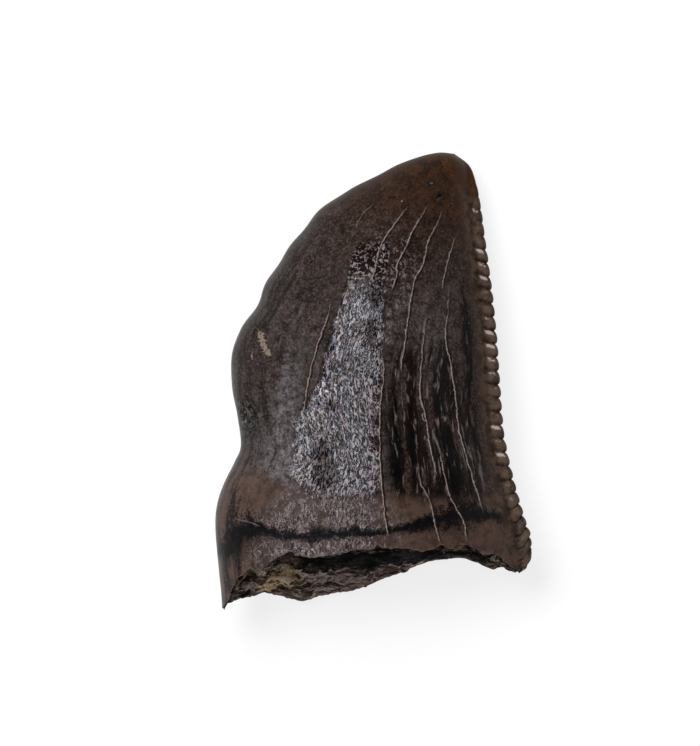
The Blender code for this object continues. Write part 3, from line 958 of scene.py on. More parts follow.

# %% [markdown]
# Marks on the break
#
# The points of the break get values of their own: how deep in the pulp hollow they lie, how
# far through the tooth they are from one enamel rim to the other, and spots for the ochre
# sediment, its pale lumps, the torn ledges and the painted shadow in the crevice under the
# labial rim.

# %% Store the marks of the break
OCHRE_SPOTS = [((-2.95, -6.58), (0.50, 0.36)), ((-3.55, -6.95), (0.30, 0.12))]
LUMP_SPOTS = [((-2.90, -6.72), (0.16, 0.10)), ((-2.36, -6.42), (0.16, 0.16)),
              ((4.05, -5.98), (0.22, 0.12)), ((-3.75, -6.45), (0.20, 0.08)),
              ((4.15, -6.30), (0.16, 0.08))]
LEDGE_SPOTS = [((-0.80, -6.66), (1.00, 0.16)), ((-1.90, -6.60), (0.40, 0.14)),
               ((-1.60, -7.00), (0.50, 0.10)), ((1.40, -6.22), (0.80, 0.08)),
               ((-3.10, -6.25), (0.45, 0.14)), ((-4.10, -6.90), (0.40, 0.14))]
# Spots where a shadow is painted in the crevice under the labial rim.
CREVICE_SHADOW_SPOTS = [((-1.60, -6.02), (0.90, 0.24)), ((0.10, -6.02), (1.30, 0.30)),
                 ((1.90, -5.86), (1.10, 0.18)), ((3.60, -5.95), (0.60, 0.16))]
BREAK_SPOTS = {"ochre": OCHRE_SPOTS, "lump": LUMP_SPOTS, "ledge": LEDGE_SPOTS,
               "crevice": CREVICE_SHADOW_SPOTS}
for name, spots in BREAK_SPOTS.items():
    store(name, np.zeros_like(ring_x), spot_mask(bands[0], bands[1], spots))
store("hollow", np.zeros_like(ring_x), bands[3])
store("through", np.where(on_labial, 0.0, 1.0), bands[4])
print("marks:", sorted(mark.name for mark in mesh.attributes if not mark.name.startswith(".")))

# %% [markdown]
# Tools for mixing a finish
#
# A finish is a network of small nodes: noise, sums and colour mixes that end in one shader.
# Wiring each by hand would hide the recipe, so a few short helpers come first. Each adds a
# node or two and hands back an output. Where a helper takes a value, the name of a noise or
# of a mark does as well. Lengths inside a finish are in millimetres, as the marks are.

# %% A material that is mixed one node at a time
class Finish:
    """A material being mixed."""

    def __init__(self, name):
        self.material = bpy.data.materials.new(name)
        self.material.use_nodes = True
        self.tree = self.material.node_tree
        self.shader = self.tree.nodes["Principled BSDF"]
        self.noises = {}

    def plug(self, socket, value):
        """Give a socket a number, a colour, an output, or a noise or a mark by its name."""
        if isinstance(value, str):
            value = self.noises[value] if value in self.noises else self.mark(value)
        if isinstance(value, bpy.types.NodeSocket):
            self.tree.links.new(value, socket)
        elif socket.type == "RGBA":
            socket.default_value = (*value, 1.0)
        else:
            socket.default_value = value

    def node(self, kind, inputs, **settings):
        made = self.tree.nodes.new(kind)
        for name, value in settings.items():
            setattr(made, name, value)
        for place, value in inputs.items():
            self.plug(made.inputs[place], value)
        return made

    def mark(self, name):
        """A value stored at the points of the mesh."""
        return self.node("ShaderNodeAttribute", {}, attribute_name=name).outputs["Fac"]

    def work(self, operation, first, second=0.0):
        return self.node("ShaderNodeMath", {0: first, 1: second}, operation=operation).outputs[0]

    def times(self, *values):
        total = values[0]
        for value in values[1:]:
            total = self.work("MULTIPLY", total, value)
        return total

    def plus(self, *values):
        total = values[0]
        for value in values[1:]:
            total = self.work("ADD", total, value)
        return total

    def ramp(self, value, low, high, start=0.0, end=1.0):
        """Values from low to high, turned smoothly into start to end."""
        inputs = {"Value": value, "From Min": low, "From Max": high, "To Min": start, "To Max": end}
        made = self.node("ShaderNodeMapRange", inputs, interpolation_type="SMOOTHSTEP")
        return made.outputs["Result"]

    def lay(self, under, over, *shares):
        """One colour laid over another, as thickly as the product of the shares says."""
        inputs = {0: self.times(*shares), 6: under, 7: over}
        return self.node("ShaderNodeMix", inputs, data_type="RGBA").outputs[2]

    def stretch(self, place, factors):
        inputs = {0: place, 1: factors}
        return self.node("ShaderNodeVectorMath", inputs, operation="MULTIPLY").outputs[0]

    def place(self):
        """Where a point of the object lies, in millimetres."""
        metres = self.node("ShaderNodeTexCoord", {}).outputs["Object"]
        return self.stretch(metres, (1 / MM, 1 / MM, 1 / MM))

    def grain(self, place, size, detail=2.0, roughness=0.5, warp=0.0):
        """Soft noise whose spots are about size millimetres across."""
        inputs = {"Vector": place, "Scale": 1.0 / size, "Detail": detail,
                  "Roughness": roughness, "Distortion": warp}
        return self.node("ShaderNodeTexNoise", inputs).outputs["Fac"]

    def ridges(self, value, width):
        """Thin raised lines where a noise passes through its middle."""
        middle = self.work("ABSOLUTE", self.work("SUBTRACT", value, 0.5))
        return self.ramp(middle, width, 0.0)

    def finish(self, colour, roughness, height, gloss_level=0.5):
        """Wire the colour, the gloss and the height in millimetres to the shader."""
        bump = self.node("ShaderNodeBump", {"Distance": MM, "Height": height})
        self.plug(self.shader.inputs["Base Color"], colour)
        self.plug(self.shader.inputs["Roughness"], roughness)
        self.plug(self.shader.inputs["Normal"], bump.outputs[0])
        self.shader.inputs["Specular IOR Level"].default_value = gloss_level
        print(self.material.name, "uses", len(self.tree.nodes), "nodes")
        return self.material


print("helpers:", [name for name in vars(Finish) if not name.startswith("_")])

# %% [markdown]
# The grain of the enamel
#
# Nothing on a fossil is even, so every layer of its finish is broken up by noise. The round
# kinds, from clouds of a millimetre down to specks, follow the object. The long kinds follow
# the crown itself: they are stretched along it, so lines and wrinkles run from base to tip.
# Colour and relief share them, so that a pale ridge is also a raised one.

# %% Every noise of the enamel, by name
CRUMB_START = (0.60, 0.68)


def add_grain(enamel):
    around = enamel.node("ShaderNodeAttribute", {}, attribute_name="crown_place").outputs["Vector"]
    place = enamel.place()
    lengthwise = enamel.stretch(around, (1.0, 1.0, 0.10))
    short_lines = enamel.stretch(around, (1.0, 1.0, 0.20))
    worms = enamel.stretch(around, (1.0, 1.0, 0.50))
    enamel.noises = {
        "cloud": enamel.grain(place, 1.3, 3.0, 0.6),
        "mottle": enamel.grain(place, 0.32, 4.0, 0.65),
        "speck": enamel.grain(place, 0.075, 2.0, 0.6),
        "lines": enamel.grain(lengthwise, 0.22, 3.0, 0.6, 0.2),
        "wrinkle": enamel.grain(short_lines, 0.12, 3.0, 0.6, 0.4),
        "worm": enamel.grain(worms, 0.075, 1.5, 0.5, 1.1),
        "thread": enamel.grain(enamel.stretch(around, (0.8, 0.8, 0.45)), 0.12, 1.0, 0.5, 1.6),
        "crumb": enamel.grain(place, 0.10, 1.5, 0.5, 0.6),
    }
    upper = enamel.ramp("tipward", *CRUMB_START)
    enamel.noises["upper"] = upper
    enamel.noises["ridge"] = enamel.plus(
        enamel.times("worm", enamel.work("SUBTRACT", 1.0, upper)),
        enamel.times("crumb", upper))


print("worm-like ridges turn to crumbs from", CRUMB_START[0], "to", CRUMB_START[1], "of the length")

# %% [markdown]
# The brown ground
#
# Fossil enamel takes up minerals from the ground, so its brown is uneven at every size. The
# colour is laid as a painter would lay it, one layer over another. First comes a brown that
# is warmer at the tip, with freckles and pores; at the mesial margin it is painted greyer as a
# sheen of grazing light, and lilac patches of painted satin sheen lie on it. Colours are linear
# red, green and blue. In each ramp the first two numbers are the values between which a layer
# sets in, and the last two are how thin and how thick it is.

# %% First layer: the ground
DEEP_BROWN = (0.026, 0.0135, 0.0095)
UMBER = (0.043, 0.024, 0.017)
TIP_BROWN = (0.046, 0.0185, 0.0070)
TIP_WARM = (0.095, 0.034, 0.009)
# The margin grey and the satin lilac below are painted sheen.
MARGIN_SHEEN_GREY = (0.051, 0.037, 0.033)
FRECKLE = (0.100, 0.078, 0.070)
SATIN_SHEEN_LILAC = (0.200, 0.176, 0.184)
# Near black, for dark spots of the enamel and for painted shade in gaps and beside cracks.
BLACK_AND_PAINTED_SHADE = (0.005, 0.0035, 0.0035)


def ground_colour(enamel):
    ramp, lay = enamel.ramp, enamel.lay
    margin = enamel.times(ramp("from_mesial", 2.6, 0.3), ramp("tipward", 0.86, 0.62))
    tip = ramp("tipward", 0.66, 0.90)
    colour = lay(DEEP_BROWN, UMBER, ramp("cloud", 0.35, 0.68))
    # The mesial margin is painted greyer, as a sheen of grazing light.
    colour = lay(colour, MARGIN_SHEEN_GREY, margin, 0.8)
    colour = lay(colour, TIP_BROWN, tip, 0.85)
    colour = lay(colour, TIP_WARM, tip, ramp("from_distal", 1.5, 0.7), 0.45)
    lighter = ramp("crumb", 0.50, 0.64, 0.0, 0.42)
    colour = lay(colour, FRECKLE, lighter, ramp(tip, 0.0, 1.0, 1.0, 0.2))
    # Lilac patches of painted satin sheen.
    drawn_out = ramp("lines", 0.30, 0.60, 0.45, 0.9)
    crumbled = ramp("crumb", 0.40, 0.58, 0.45, 1.0)
    colour = lay(colour, SATIN_SHEEN_LILAC, "satin", drawn_out, crumbled)
    colour = lay(colour, BLACK_AND_PAINTED_SHADE, ramp("mottle", 0.60, 0.36, 0.0, 0.65))
    colour = lay(colour, BLACK_AND_PAINTED_SHADE, margin, ramp("lines", 0.54, 0.40, 0.0, 0.75))
    freckles = ramp("speck", 0.52, 0.68, 0.0, 0.50)
    colour = lay(colour, FRECKLE, freckles, ramp(tip, 0.0, 1.0, 1.0, 0.15))
    return lay(colour, BLACK_AND_PAINTED_SHADE, ramp("speck", 0.48, 0.32, 0.0, 0.60))


LAYERS = []
print("ground from", DEEP_BROWN, "to", UMBER)

# %% [markdown]
# Streaks
#
# Towards the serrations the crown is drawn over with black streaks and thin pale ones. They
# run lengthwise because minerals crept along the grain of the enamel. Lengthwise noise draws
# them inside a soft zone, and a few strong ones have places of their own.

# %% Second layer: streaks that run with the crown
STREAK_BLACK = (0.003, 0.002, 0.002)
STREAK_PALE = (0.150, 0.118, 0.112)


def streaked(enamel, colour):
    ramp, lay = enamel.ramp, enamel.lay
    colour = lay(colour, STREAK_BLACK, "streak", ramp("lines", 0.58, 0.44), 0.85)
    colour = lay(colour, STREAK_PALE, "streak", ramp("wrinkle", 0.57, 0.68), 0.9)
    return lay(colour, STREAK_BLACK, "black", ramp("wrinkle", 0.62, 0.48))


LAYERS.append(streaked)
print("layers:", [layer.__name__ for layer in LAYERS])

# %% [markdown]
# The worn patch and its painted sheen
#
# Along the crest, wear has polished the tops of tiny worm-like ridges. Their tops get a painted
# highlight, cool grey to rose, and the gaps between them are painted dark as shade. Threads of
# painted light are added where a noise passes through its middle, and the zone is painted a grey
# sheen. Higher up the ridges turn to crumbs with a pink painted highlight. In the dusky places and
# the scars the wear is missing, and in the dusky places the painted highlight is thinner.

# %% Third layer: painted highlight on worn ridges, painted shade in their gaps
# The sheen colours are painted: a grey sheen for the zone, a cool to rose highlight on the ridge
# tops and a pink highlight on the crumbs.
SHEEN_GREY = (0.070, 0.058, 0.062)
SHEEN_COOL = (0.50, 0.50, 0.58)
SHEEN_ROSE = (0.56, 0.46, 0.46)
CRUMB_HIGHLIGHT_PINK = (0.42, 0.33, 0.33)
SCAR_GREY = (0.13, 0.115, 0.10)


def worn_sheen(enamel, colour):
    ramp, lay, times = enamel.ramp, enamel.lay, enamel.times
    zone = ramp(enamel.plus("sheen", ramp("mottle", 0.3, 0.7, -0.3, 0.3)), 0.30, 0.62)
    flecks = times("fleck", ramp("mottle", 0.44, 0.58), 0.5)
    zone = enamel.work("MAXIMUM", zone, flecks)
    dusk = ramp("dusk", 0.25, 0.8, 1.0, 0.15)
    lower = enamel.work("SUBTRACT", 1.0, "upper")
    # The zone is painted a grey sheen, dark in the gaps as painted shade and pale on the ridge tops
    # as painted highlight.
    colour = lay(colour, SHEEN_GREY, zone, dusk, lower, 0.85)
    colour = lay(colour, SCAR_GREY, ramp("scar", 0.30, 0.60, 0.0, 0.75))
    colour = lay(colour, BLACK_AND_PAINTED_SHADE, zone, ramp("ridge", 0.54, 0.44), 0.97)
    highlight_tops = times(ramp("ridge", 0.51, 0.61), 0.60)
    highlight_threads = times(enamel.ridges("thread", 0.032), 0.95, lower)
    highlight_tops = times(enamel.work("MAXIMUM", highlight_tops, highlight_threads), ramp("cloud", 0.30, 0.55, 0.65, 1.0))
    highlight_tint = lay(SHEEN_COOL, SHEEN_ROSE, ramp("mottle", 0.40, 0.62))
    highlight_tint = lay(highlight_tint, CRUMB_HIGHLIGHT_PINK, "upper")
    return lay(colour, highlight_tint, zone, highlight_tops, ramp("dusk", 0.25, 0.8, 1.0, 0.35))


LAYERS.append(worn_sheen)
print("layers:", [layer.__name__ for layer in LAYERS])

# %% [markdown]
# The basal band
#
# Above the break the enamel is smooth and brown. Where the sheen flecks reach it, it turns lilac,
# partly its own tone and partly a painted sheen. There short pale threads of painted highlight run
# with painted shade between them, and dark lines and pale specks are drawn down its mesial side.
# A dark wavy stain crosses it. The mark "stain" is the distance from the middle of the stain in
# half widths of it, so noise added to it frays both edges.

# %% Fourth layer: the band and its stain
BAND_BROWN = (0.098, 0.060, 0.044)
# The band's lilac is partly its own tone and partly a painted sheen; its pale flecks are painted
# highlight.
BAND_LILAC_SHEEN = (0.150, 0.114, 0.112)
BAND_HIGHLIGHT_FLECK = (0.42, 0.36, 0.36)
STAIN_BLACK = (0.0025, 0.0025, 0.0036)


def basal_colour(enamel, colour):
    ramp, lay, times = enamel.ramp, enamel.lay, enamel.times
    tone = lay(BAND_BROWN, BAND_LILAC_SHEEN, "fleck", ramp("cloud", 0.25, 0.55))
    tone = lay(tone, DEEP_BROWN, ramp("mottle", 0.58, 0.38, 0.0, 0.5))
    colour = lay(colour, tone, "basal_band", 0.80)
    side = times("basal_band", ramp("from_mesial", 2.2, 0.6))
    colour = lay(colour, BLACK_AND_PAINTED_SHADE, side, ramp("lines", 0.56, 0.42, 0.0, 0.85))
    colour = lay(colour, FRECKLE, side, ramp("speck", 0.55, 0.66, 0.0, 0.60))
    # Painted highlight threads in the sheen flecks, with painted shade between them.
    flecked = times("basal_band", "fleck", ramp("mottle", 0.34, 0.52))
    colour = lay(colour, BLACK_AND_PAINTED_SHADE, flecked, ramp("worm", 0.52, 0.42), 0.80)
    colour = lay(colour, BAND_HIGHLIGHT_FLECK, flecked, enamel.ridges("thread", 0.036), 0.95)
    coarse = ramp("mottle", 0.25, 0.75, -0.8, 0.8)
    waver = enamel.plus(coarse, ramp("speck", 0.25, 0.75, -0.5, 0.5))
    across = enamel.work("ABSOLUTE", enamel.plus("stain", waver))
    return lay(colour, STAIN_BLACK, ramp(across, 2.1, 0.5, 0.0, 0.97))


LAYERS.append(basal_colour)
print("layers:", [layer.__name__ for layer in LAYERS])

# %% [markdown]
# The serrated edge
#
# The keel is brown, its slits are painted dark as shade and its crests a little paler as painted
# light. On many serrations the tipward shoulder has a painted highlight, a bright glint. The
# colours follow the marks "crest" and "glint", which were stored row by row, so they stay on the
# serrations.

# %% Fifth layer: flanks, painted light on crests, painted shade in slits, glints
KEEL_BROWN = (0.088, 0.054, 0.038)
KEEL_DARK = (0.034, 0.021, 0.015)
# Paler crest tops are painted light; the near black is for pits and for painted shade in the slits
# and the groove; the glint is a painted highlight.
LIT_BEAD_OLIVE = (0.098, 0.066, 0.048)
PIT_AND_SHADE_DARK = (0.008, 0.006, 0.005)
GLINT_PALE = (0.42, 0.35, 0.32)
GLINT_DEPTH = 0.25


def keel_colour(enamel, colour):
    ramp, lay, times = enamel.ramp, enamel.lay, enamel.times
    ragged = enamel.plus("from_distal", ramp("mottle", 0.3, 0.7, -0.12, 0.12))
    towards_tip = ramp("tipward", 0.84, 0.93)
    flank = lay(KEEL_DARK, KEEL_BROWN, ramp("mottle", 0.42, 0.60))
    flank = lay(flank, TIP_BROWN, towards_tip)
    colour = lay(colour, flank, ramp(ragged, 0.85, 0.62, 0.0, 0.9))
    # Crest tops painted paler as painted light.
    lit_bead = times(ramp("from_distal", 0.46, 0.38), ramp("crest", 0.62, 0.95),
                 enamel.work("SUBTRACT", 1.0, towards_tip))
    colour = lay(colour, LIT_BEAD_OLIVE, lit_bead, ramp("mottle", 0.36, 0.56, 0.25, 0.9))
    # Painted shade in the slits.
    slit = times(ramp("from_distal", 0.50, 0.32), ramp("crest", 0.55, 0.15))
    colour = lay(colour, PIT_AND_SHADE_DARK, slit, ramp("mottle", 0.62, 0.40, 0.25, 0.85))
    # The glint: a painted highlight on the tipward shoulder.
    from_glint = enamel.work("ABSOLUTE", enamel.plus("from_distal", -GLINT_DEPTH))
    glint_share = times(ramp(from_glint, 0.24, 0.05), "glint")
    glint_share = enamel.plus(glint_share, ramp("speck", 0.3, 0.7, -0.20, 0.20))
    return lay(colour, GLINT_PALE, ramp(glint_share, 0.28, 0.80, 0.0, 0.9))


LAYERS.append(keel_colour)
print("layers:", [layer.__name__ for layer in LAYERS])

# %% [markdown]
# Small marks and cracks
#
# Last come the pale edge of the rim, the pits, the tan chip and the painted shade line of the
# groove, and over them all the cracks. Pale mineral fills a crack unevenly, so its line changes
# in width and strength along the way, and a painted shadow lies along one side of it.

# %% Last layers: pits, chips and cracks
CRACK_PALE = (0.33, 0.255, 0.225)
CHIP_TAN = (0.26, 0.20, 0.15)
RIM_TAN = (0.13, 0.085, 0.070)
CRACK_HALF_WIDTHS = (0.014, 0.036)
CRACK_WAVER = 0.03


def marked(enamel, colour):
    ramp, lay = enamel.ramp, enamel.lay
    patchy = ramp("mottle", 0.42, 0.60, 0.10, 0.80)
    colour = lay(colour, RIM_TAN, ramp("from_rim", 0.07, 0.02), patchy)
    pit = enamel.times("pit", ramp("crumb", 0.66, 0.48, 0.35, 1.0))
    colour = lay(colour, PIT_AND_SHADE_DARK, ramp(pit, 0.2, 0.5))
    colour = lay(colour, SCAR_GREY, "pit", ramp("crumb", 0.54, 0.62), 0.8)
    chip = enamel.plus("chip", ramp("speck", 0.30, 0.70, -0.45, 0.35))
    chip = ramp(chip, 0.32, 0.68, 0.0, 0.9)
    colour = lay(colour, CHIP_TAN, chip, ramp("crumb", 0.36, 0.54, 0.55, 1.0))
    # The groove: a painted line of shade.
    return lay(colour, PIT_AND_SHADE_DARK, "groove", 0.8)


def crack_line(enamel, family, shift, outer, inner):
    """A line along the cracks of one family: its middle, and its outer and inner half width."""
    waver = enamel.ramp("mottle", 0.2, 0.8, -CRACK_WAVER, CRACK_WAVER)
    offset = enamel.plus(f"crack_offset_{family}", waver, shift)
    line = enamel.ramp(enamel.work("ABSOLUTE", offset), outer, inner)
    return enamel.times(line, f"crack_opening_{family}")


def cracked(enamel, colour):
    width = enamel.ramp("crumb", 0.30, 0.70, *CRACK_HALF_WIDTHS)
    filled = enamel.ramp("mottle", 0.28, 0.50, 0.40, 0.95)
    for family in CRACK_FAMILIES:
        # A painted shadow along one side of each crack.
        lip_shadow = crack_line(enamel, family, -0.03, 0.07, 0.03)
        colour = enamel.lay(colour, BLACK_AND_PAINTED_SHADE, lip_shadow, 0.85)
        line = crack_line(enamel, family, 0.0, width, enamel.times(width, 0.45))
        colour = enamel.lay(colour, CRACK_PALE, line, filled)
    return colour


LAYERS += [marked, cracked]
print("layers:", [layer.__name__ for layer in LAYERS])

# %% [markdown]
# Worn enamel: the gloss and the relief
#
# Most of the crown has a low satin gloss. On the crest the same ridges that are painted pale
# are also raised and polished, with matt gaps, so each catches the light on its own. That
# makes the cool sparkle, which paint alone would not. The height goes through a bump node,
# because most of the ridges are only hundredths of a millimetre high.

# %% Gloss and relief of the enamel
RIDGE_HEIGHT = 0.036
WRINKLE_HEIGHT = 0.010
LINE_HEIGHT = 0.016
MOTTLE_HEIGHT = 0.008
PORE_HEIGHT = 0.0015
CRACK_DEPTH = 0.025


def enamel_height(enamel):
    """Height in millimetres of all the fine relief."""
    ramp, times = enamel.ramp, enamel.times
    wrinkled = enamel.work("MAXIMUM", ramp("sheen", 0.1, 0.6), times("fleck", 0.35))
    streaks = ramp("streak", 0.1, 0.7, 0.12, 1.0)
    smooth = ramp("basal_band", 0.2, 0.9, 1.0, 0.25)
    ridges = times(ramp("ridge", 0.36, 0.66), RIDGE_HEIGHT, wrinkled)
    wrinkle = times(ramp("wrinkle", 0.35, 0.68), WRINKLE_HEIGHT, streaks, smooth)
    lines = times("lines", LINE_HEIGHT, streaks, smooth)
    mottle = times("mottle", MOTTLE_HEIGHT)
    pores = times("speck", PORE_HEIGHT)
    cracks = [times(crack_line(enamel, family, 0.0, 0.07, 0.0), -CRACK_DEPTH)
              for family in CRACK_FAMILIES]
    return enamel.plus(ridges, wrinkle, lines, mottle, pores, *cracks)


def enamel_gloss(enamel):
    """Roughness: satin all over, with polished ridges and matt gaps in the worn patch."""
    ramp, times = enamel.ramp, enamel.times
    base = enamel.plus(ramp("mottle", 0.3, 0.7, 0.34, 0.44), ramp("tipward", 0.7, 0.9, 0.0, 0.12))
    gaps = times(ramp("ridge", 0.58, 0.44), 0.40, ramp("sheen", 0.1, 0.5))
    polished = ramp("sheen", 0.1, 0.7, 0.0, -0.10)
    dusk = times("dusk", 0.45)
    matt = [times(crack_line(enamel, family, 0.0, 0.05, 0.02), 0.4) for family in CRACK_FAMILIES]
    return enamel.plus(base, gaps, polished, dusk, *matt)


def enamel_finish(name, gloss_level):
    enamel = Finish(name)
    add_grain(enamel)
    colour = ground_colour(enamel)
    for layer in LAYERS:
        colour = layer(enamel, colour)
    return enamel.finish(colour, enamel_gloss(enamel), enamel_height(enamel), gloss_level)


print("highest ridges:", RIDGE_HEIGHT, "mm")

# %% [markdown]
# Broken dentine
#
# The broken base has no enamel. Its dentine is dull and dark, torn into grit and small
# ledges, and the pulp hollow is packed with sandy sediment in brown and ochre. Shade is painted
# into the pulp hollow, the crevice under the labial rim and the low grit, and the ledges, lumps
# and high grit are painted paler, partly their own colour and partly painted light. It is
# another material on the same mesh, so that nothing has to be cut into pieces.

# %% Colours and relief of the break
DENTINE = (0.150, 0.096, 0.070)
# The near black of the dentine, also used for painted shade in the hollow, the crevice and the
# grit.
DENTINE_DARK_AND_SHADE = (0.004, 0.0028, 0.0024)
# Pale grit: partly its own colour, partly a painted highlight.
DENTINE_PALE = (0.62, 0.47, 0.37)
OCHRE = (0.88, 0.64, 0.38)
# Lumps and ledges are painted pale, partly their own colour and partly painted light.
LIT_LUMP_PALE = (0.92, 0.76, 0.62)
LIT_LEDGE_GREY = (0.46, 0.350, 0.315)
SAND_GREY = (0.140, 0.106, 0.092)
ENAMEL_EDGE = (0.170, 0.112, 0.092)
DENTINE_HEIGHTS = {"lumps": 0.16, "grit": 0.14, "sand": 0.03}
DENTINE_GLOSS = 0.2


def broken_dentine():
    dentine = Finish("broken_dentine")
    place = dentine.place()
    leaved = dentine.stretch(place, (0.45, 1.2, 1.2))
    dentine.noises = {
        "lumps": dentine.grain(place, 0.70, 4.0, 0.65),
        "grit": dentine.grain(leaved, 0.17, 4.0, 0.65, 0.5),
        "sand": dentine.grain(place, 0.055, 2.0, 0.6),
    }
    ramp, lay, times = dentine.ramp, dentine.lay, dentine.times
    colour = lay(DENTINE_DARK_AND_SHADE, DENTINE, ramp("lumps", 0.36, 0.62))
    # Pale grit: partly its own colour, partly a painted highlight on the torn surface.
    colour = lay(colour, DENTINE_PALE, ramp("grit", 0.53, 0.68, 0.0, 0.8))
    sediment = lay(DENTINE_DARK_AND_SHADE, SAND_GREY, ramp("grit", 0.52, 0.70))
    colour = lay(colour, sediment, ramp("hollow", 0.35, 0.8))
    ragged = ramp("grit", 0.35, 0.65, -0.3, 0.3)
    # A painted shadow in the crevice under the labial rim.
    crevice = dentine.plus("crevice", times(ragged, -0.8))
    colour = lay(colour, DENTINE_DARK_AND_SHADE, ramp(crevice, 0.20, 0.60, 0.0, 0.96))
    # Ledges and lumps are painted pale, partly their own colour and partly painted light; the ochre
    # is the sediment's own colour.
    for name, tone in (("ledge", LIT_LEDGE_GREY), ("ochre", OCHRE), ("lump", LIT_LUMP_PALE)):
        patch = ramp(dentine.plus(name, ragged), 0.30, 0.65, 0.0, 0.92)
        colour = lay(colour, tone, patch, ramp("sand", 0.34, 0.58, 0.25, 1.0))
    # Painted shade in the low grit.
    colour = lay(colour, DENTINE_DARK_AND_SHADE, ramp("grit", 0.48, 0.39, 0.0, 0.95))
    # Painted shade deep in the pulp hollow.
    colour = lay(colour, DENTINE_DARK_AND_SHADE, ramp("hollow", 0.15, 0.75, 0.0, 0.88))
    near_rim = dentine.work("MINIMUM", "through", dentine.work("SUBTRACT", 1.0, "through"))
    colour = lay(colour, ENAMEL_EDGE, ramp(near_rim, 0.035, 0.012))
    rough = ramp("grit", 0.3, 0.7, 0.95, 0.75)
    heights = [times(name, height) for name, height in DENTINE_HEIGHTS.items()]
    return dentine.finish(colour, rough, dentine.plus(*heights), DENTINE_GLOSS)


print("relief of the break:", DENTINE_HEIGHTS, "mm")

# %% [markdown]
# Dull and glossy enamel
#
# The strength of a reflection is one number for a whole material. The worn patch reflects
# far more than the dull brown round it, so the same recipe is mixed twice, once dull and once
# glossy. The faces of the patch take the glossy one, with a border made ragged by noise.

# %% Give each face its finish
DULL_GLOSS = 0.05
WORN_GLOSS = 0.50
mesh.materials.append(enamel_finish("dull_enamel", DULL_GLOSS))
mesh.materials.append(broken_dentine())
mesh.materials.append(enamel_finish("worn_enamel", WORN_GLOSS))
WORN_SLOT = 2
BORDER_RAGGEDNESS = 0.35
BORDER_WAVES = (2.4, 1.2)
border = field(ring_x * BORDER_WAVES[0], ring_y * BORDER_WAVES[1], rings[2], octaves=3)
ragged_x = ring_x + BORDER_RAGGEDNESS * border
glossy = spine_mask(ragged_x, ring_y, GLOSS_SPINE) - spot_mask(ragged_x, ring_y, DUSK_SPOTS)
worn_faces = (glossy > 0.5)[:-1]
finish_of_face[:worn_faces.size][worn_faces.reshape(-1)] = WORN_SLOT
mesh.polygons.foreach_set("material_index", finish_of_face)
print("glossy faces:", int(worn_faces.sum()))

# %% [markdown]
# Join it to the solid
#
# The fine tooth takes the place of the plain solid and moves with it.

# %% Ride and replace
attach(tooth, "root")
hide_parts("tooth_crown")

# %% [markdown]
# The floor
#
# A photographer would lay such a tooth on a white sweep, a sheet that curves up at its ends.
# Here the sweep is turned like a shallow bowl, so it looks the same from every side, and it
# glows a little, as a light table does, so the shadow stays pale.

# %% A white sweep
SHEET_GLOW = 0.82
FLOOR_RADIUS = 0.5
FLOOR_CURVE = 0.12
FLOOR_TURNS = 96
FLOOR_STEPS = 24
PAPER_GREYS = (0.20, 0.22)
PAPER_ROUGHNESS = 0.9
SPECKLE_SIZE = 0.02


def white_sweep():
    profile = [(0.0, 0.0), (FLOOR_RADIUS, 0.0)]
    for step in range(1, FLOOR_STEPS + 1):
        turn = 0.5 * math.pi * step / FLOOR_STEPS
        profile.append((FLOOR_RADIUS + FLOOR_CURVE * math.sin(turn),
                        FLOOR_CURVE * (1.0 - math.cos(turn))))
    bowl = bmesh.new()
    line = [bowl.verts.new((radius, 0.0, height)) for radius, height in profile]
    for start, end in zip(line, line[1:]):
        bowl.edges.new((start, end))
    bmesh.ops.spin(bowl, geom=bowl.verts[:] + bowl.edges[:], axis=(0, 0, 1), cent=(0, 0, 0),
                   angle=2 * math.pi, steps=FLOOR_TURNS)
    bmesh.ops.remove_doubles(bowl, verts=bowl.verts, dist=1e-6)
    bmesh.ops.recalc_face_normals(bowl, faces=bowl.faces)
    sweep_mesh = bpy.data.meshes.new("white_sweep")
    bowl.to_mesh(sweep_mesh)
    bowl.free()
    sweep_mesh.shade_smooth()
    sweep = bpy.data.objects.new("white_sweep", sweep_mesh)
    bpy.context.scene.collection.objects.link(sweep)
    paper = Finish("white_paper")
    metres = paper.node("ShaderNodeTexCoord", {}).outputs["Object"]
    darker, lighter = [(grey, grey, grey) for grey in PAPER_GREYS]
    white = paper.lay(darker, lighter, paper.grain(metres, SPECKLE_SIZE))
    paper.shader.inputs["Emission Color"].default_value = (1.0, 1.0, 1.0, 1.0)
    paper.shader.inputs["Emission Strength"].default_value = SHEET_GLOW
    sweep_mesh.materials.append(paper.finish(white, PAPER_ROUGHNESS, 0.0, 0.0))
    return sweep


floor = white_sweep()
print("sweep:", len(floor.data.polygons), "faces")

# %% [markdown]
# The light
#
# One large soft lamp hangs above and a little beyond the tip, so its reflection falls along
# the crest and shows the ridges there. A small even light from the room keeps the sides
# from going black. The brightness is worked out per area, so the lamp can change its size
# and keep its strength.

# %% One lamp and the room
def soft_lamp(name, place, aim, size, radiance, colour):
    """A rectangular lamp of even brightness; radiance 1 would show as plain white."""
    lamp = bpy.data.lights.new(name, "AREA")
    lamp.shape = "RECTANGLE"
    lamp.size, lamp.size_y = size
    lamp.energy = radiance * math.pi * size[0] * size[1]
    lamp.color = colour
    holder = bpy.data.objects.new(name, lamp)
    holder.location = place
    holder.rotation_euler = (Vector(aim) - Vector(place)).to_track_quat("-Z", "Y").to_euler()
    holder.visible_camera = False
    bpy.context.scene.collection.objects.link(holder)
    return holder


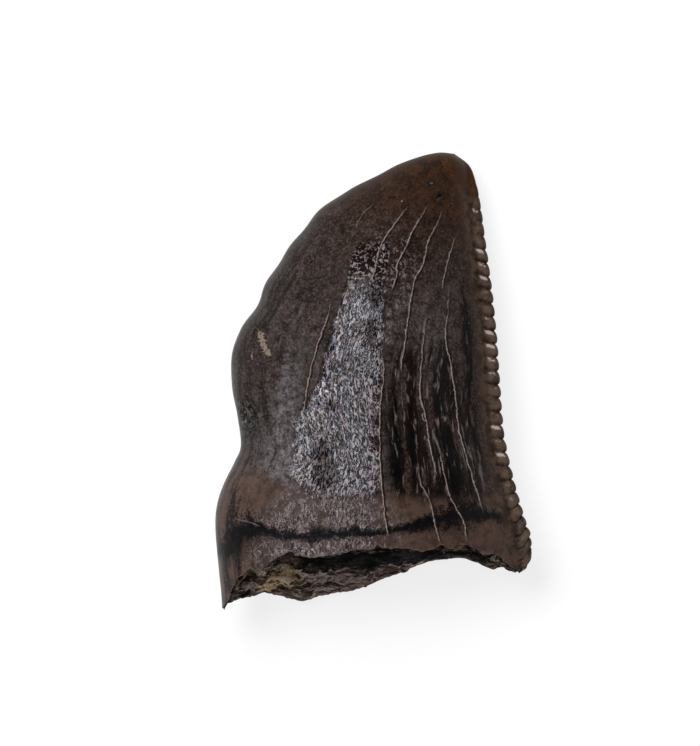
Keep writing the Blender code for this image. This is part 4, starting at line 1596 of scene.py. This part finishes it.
LAMP_DISTANCE = 0.36
LAMP_DIRECTION = Vector((-0.30, 0.37, 0.88)).normalized()
LAMP_AIM = (0, 0, 0.002)
LAMP_SIZE = (0.18, 0.15)
LAMP_RADIANCE = 16.0
COOL_WHITE = (0.97, 0.98, 1.0)
ROOM_LIGHT = 0.05
soft_lamp("overhead", LAMP_DIRECTION * LAMP_DISTANCE, LAMP_AIM, LAMP_SIZE, LAMP_RADIANCE,
          COOL_WHITE)
room = bpy.data.worlds.new("soft_room")
room.use_nodes = True
background = room.node_tree.nodes["Background"]
background.inputs["Color"].default_value = (*COOL_WHITE, 1.0)
background.inputs["Strength"].default_value = ROOM_LIGHT
bpy.context.scene.world = room
bpy.context.scene.view_settings.view_transform = "Standard"
print("lamp:", LAMP_SIZE, "m, radiance", LAMP_RADIANCE)

# %% [markdown]
# The camera
#
# The photograph looks straight down on the tooth from far enough to show no slant. Its
# scale, 30.2 pixels to a millimetre, comes from the row of serrations. The lens is worked out
# from that scale and the camera's height, so the outline lands on the photograph's.

# %% A camera that looks straight down
PIXELS_PER_MM = 30.2
IMAGE_WIDTH, IMAGE_HEIGHT = 700, 746
PIXEL_OF_ORIGIN = (373.0, 378.5)
CAMERA_HEIGHT = 0.25
OUTLINE_HEIGHT = 2.4
SENSOR = 36.0
NEAREST, FARTHEST = 0.01, 10.0
across = (0.5 * IMAGE_WIDTH - PIXEL_OF_ORIGIN[0]) / PIXELS_PER_MM + SHIFT[0]
along = (PIXEL_OF_ORIGIN[1] - 0.5 * IMAGE_HEIGHT) / PIXELS_PER_MM + SHIFT[1]
lens = bpy.data.cameras.new("camera")
lens.sensor_width = SENSOR
lens.lens = SENSOR * CAMERA_HEIGHT / MM / (IMAGE_HEIGHT / PIXELS_PER_MM)
lens.clip_start = NEAREST
lens.clip_end = FARTHEST
camera = bpy.data.objects.new("camera", lens)
camera.location = (across * MM, along * MM, CAMERA_HEIGHT + OUTLINE_HEIGHT * MM)
bpy.context.scene.collection.objects.link(camera)
bpy.context.scene.camera = camera
print("lens:", round(lens.lens, 1), "mm")

# %% [markdown]
# The sizes
#
# The size of the plain solid was measured right after loading, and the finished tooth when it
# was fitted over it. Both sizes are printed, so that anyone can see how closely they agree.
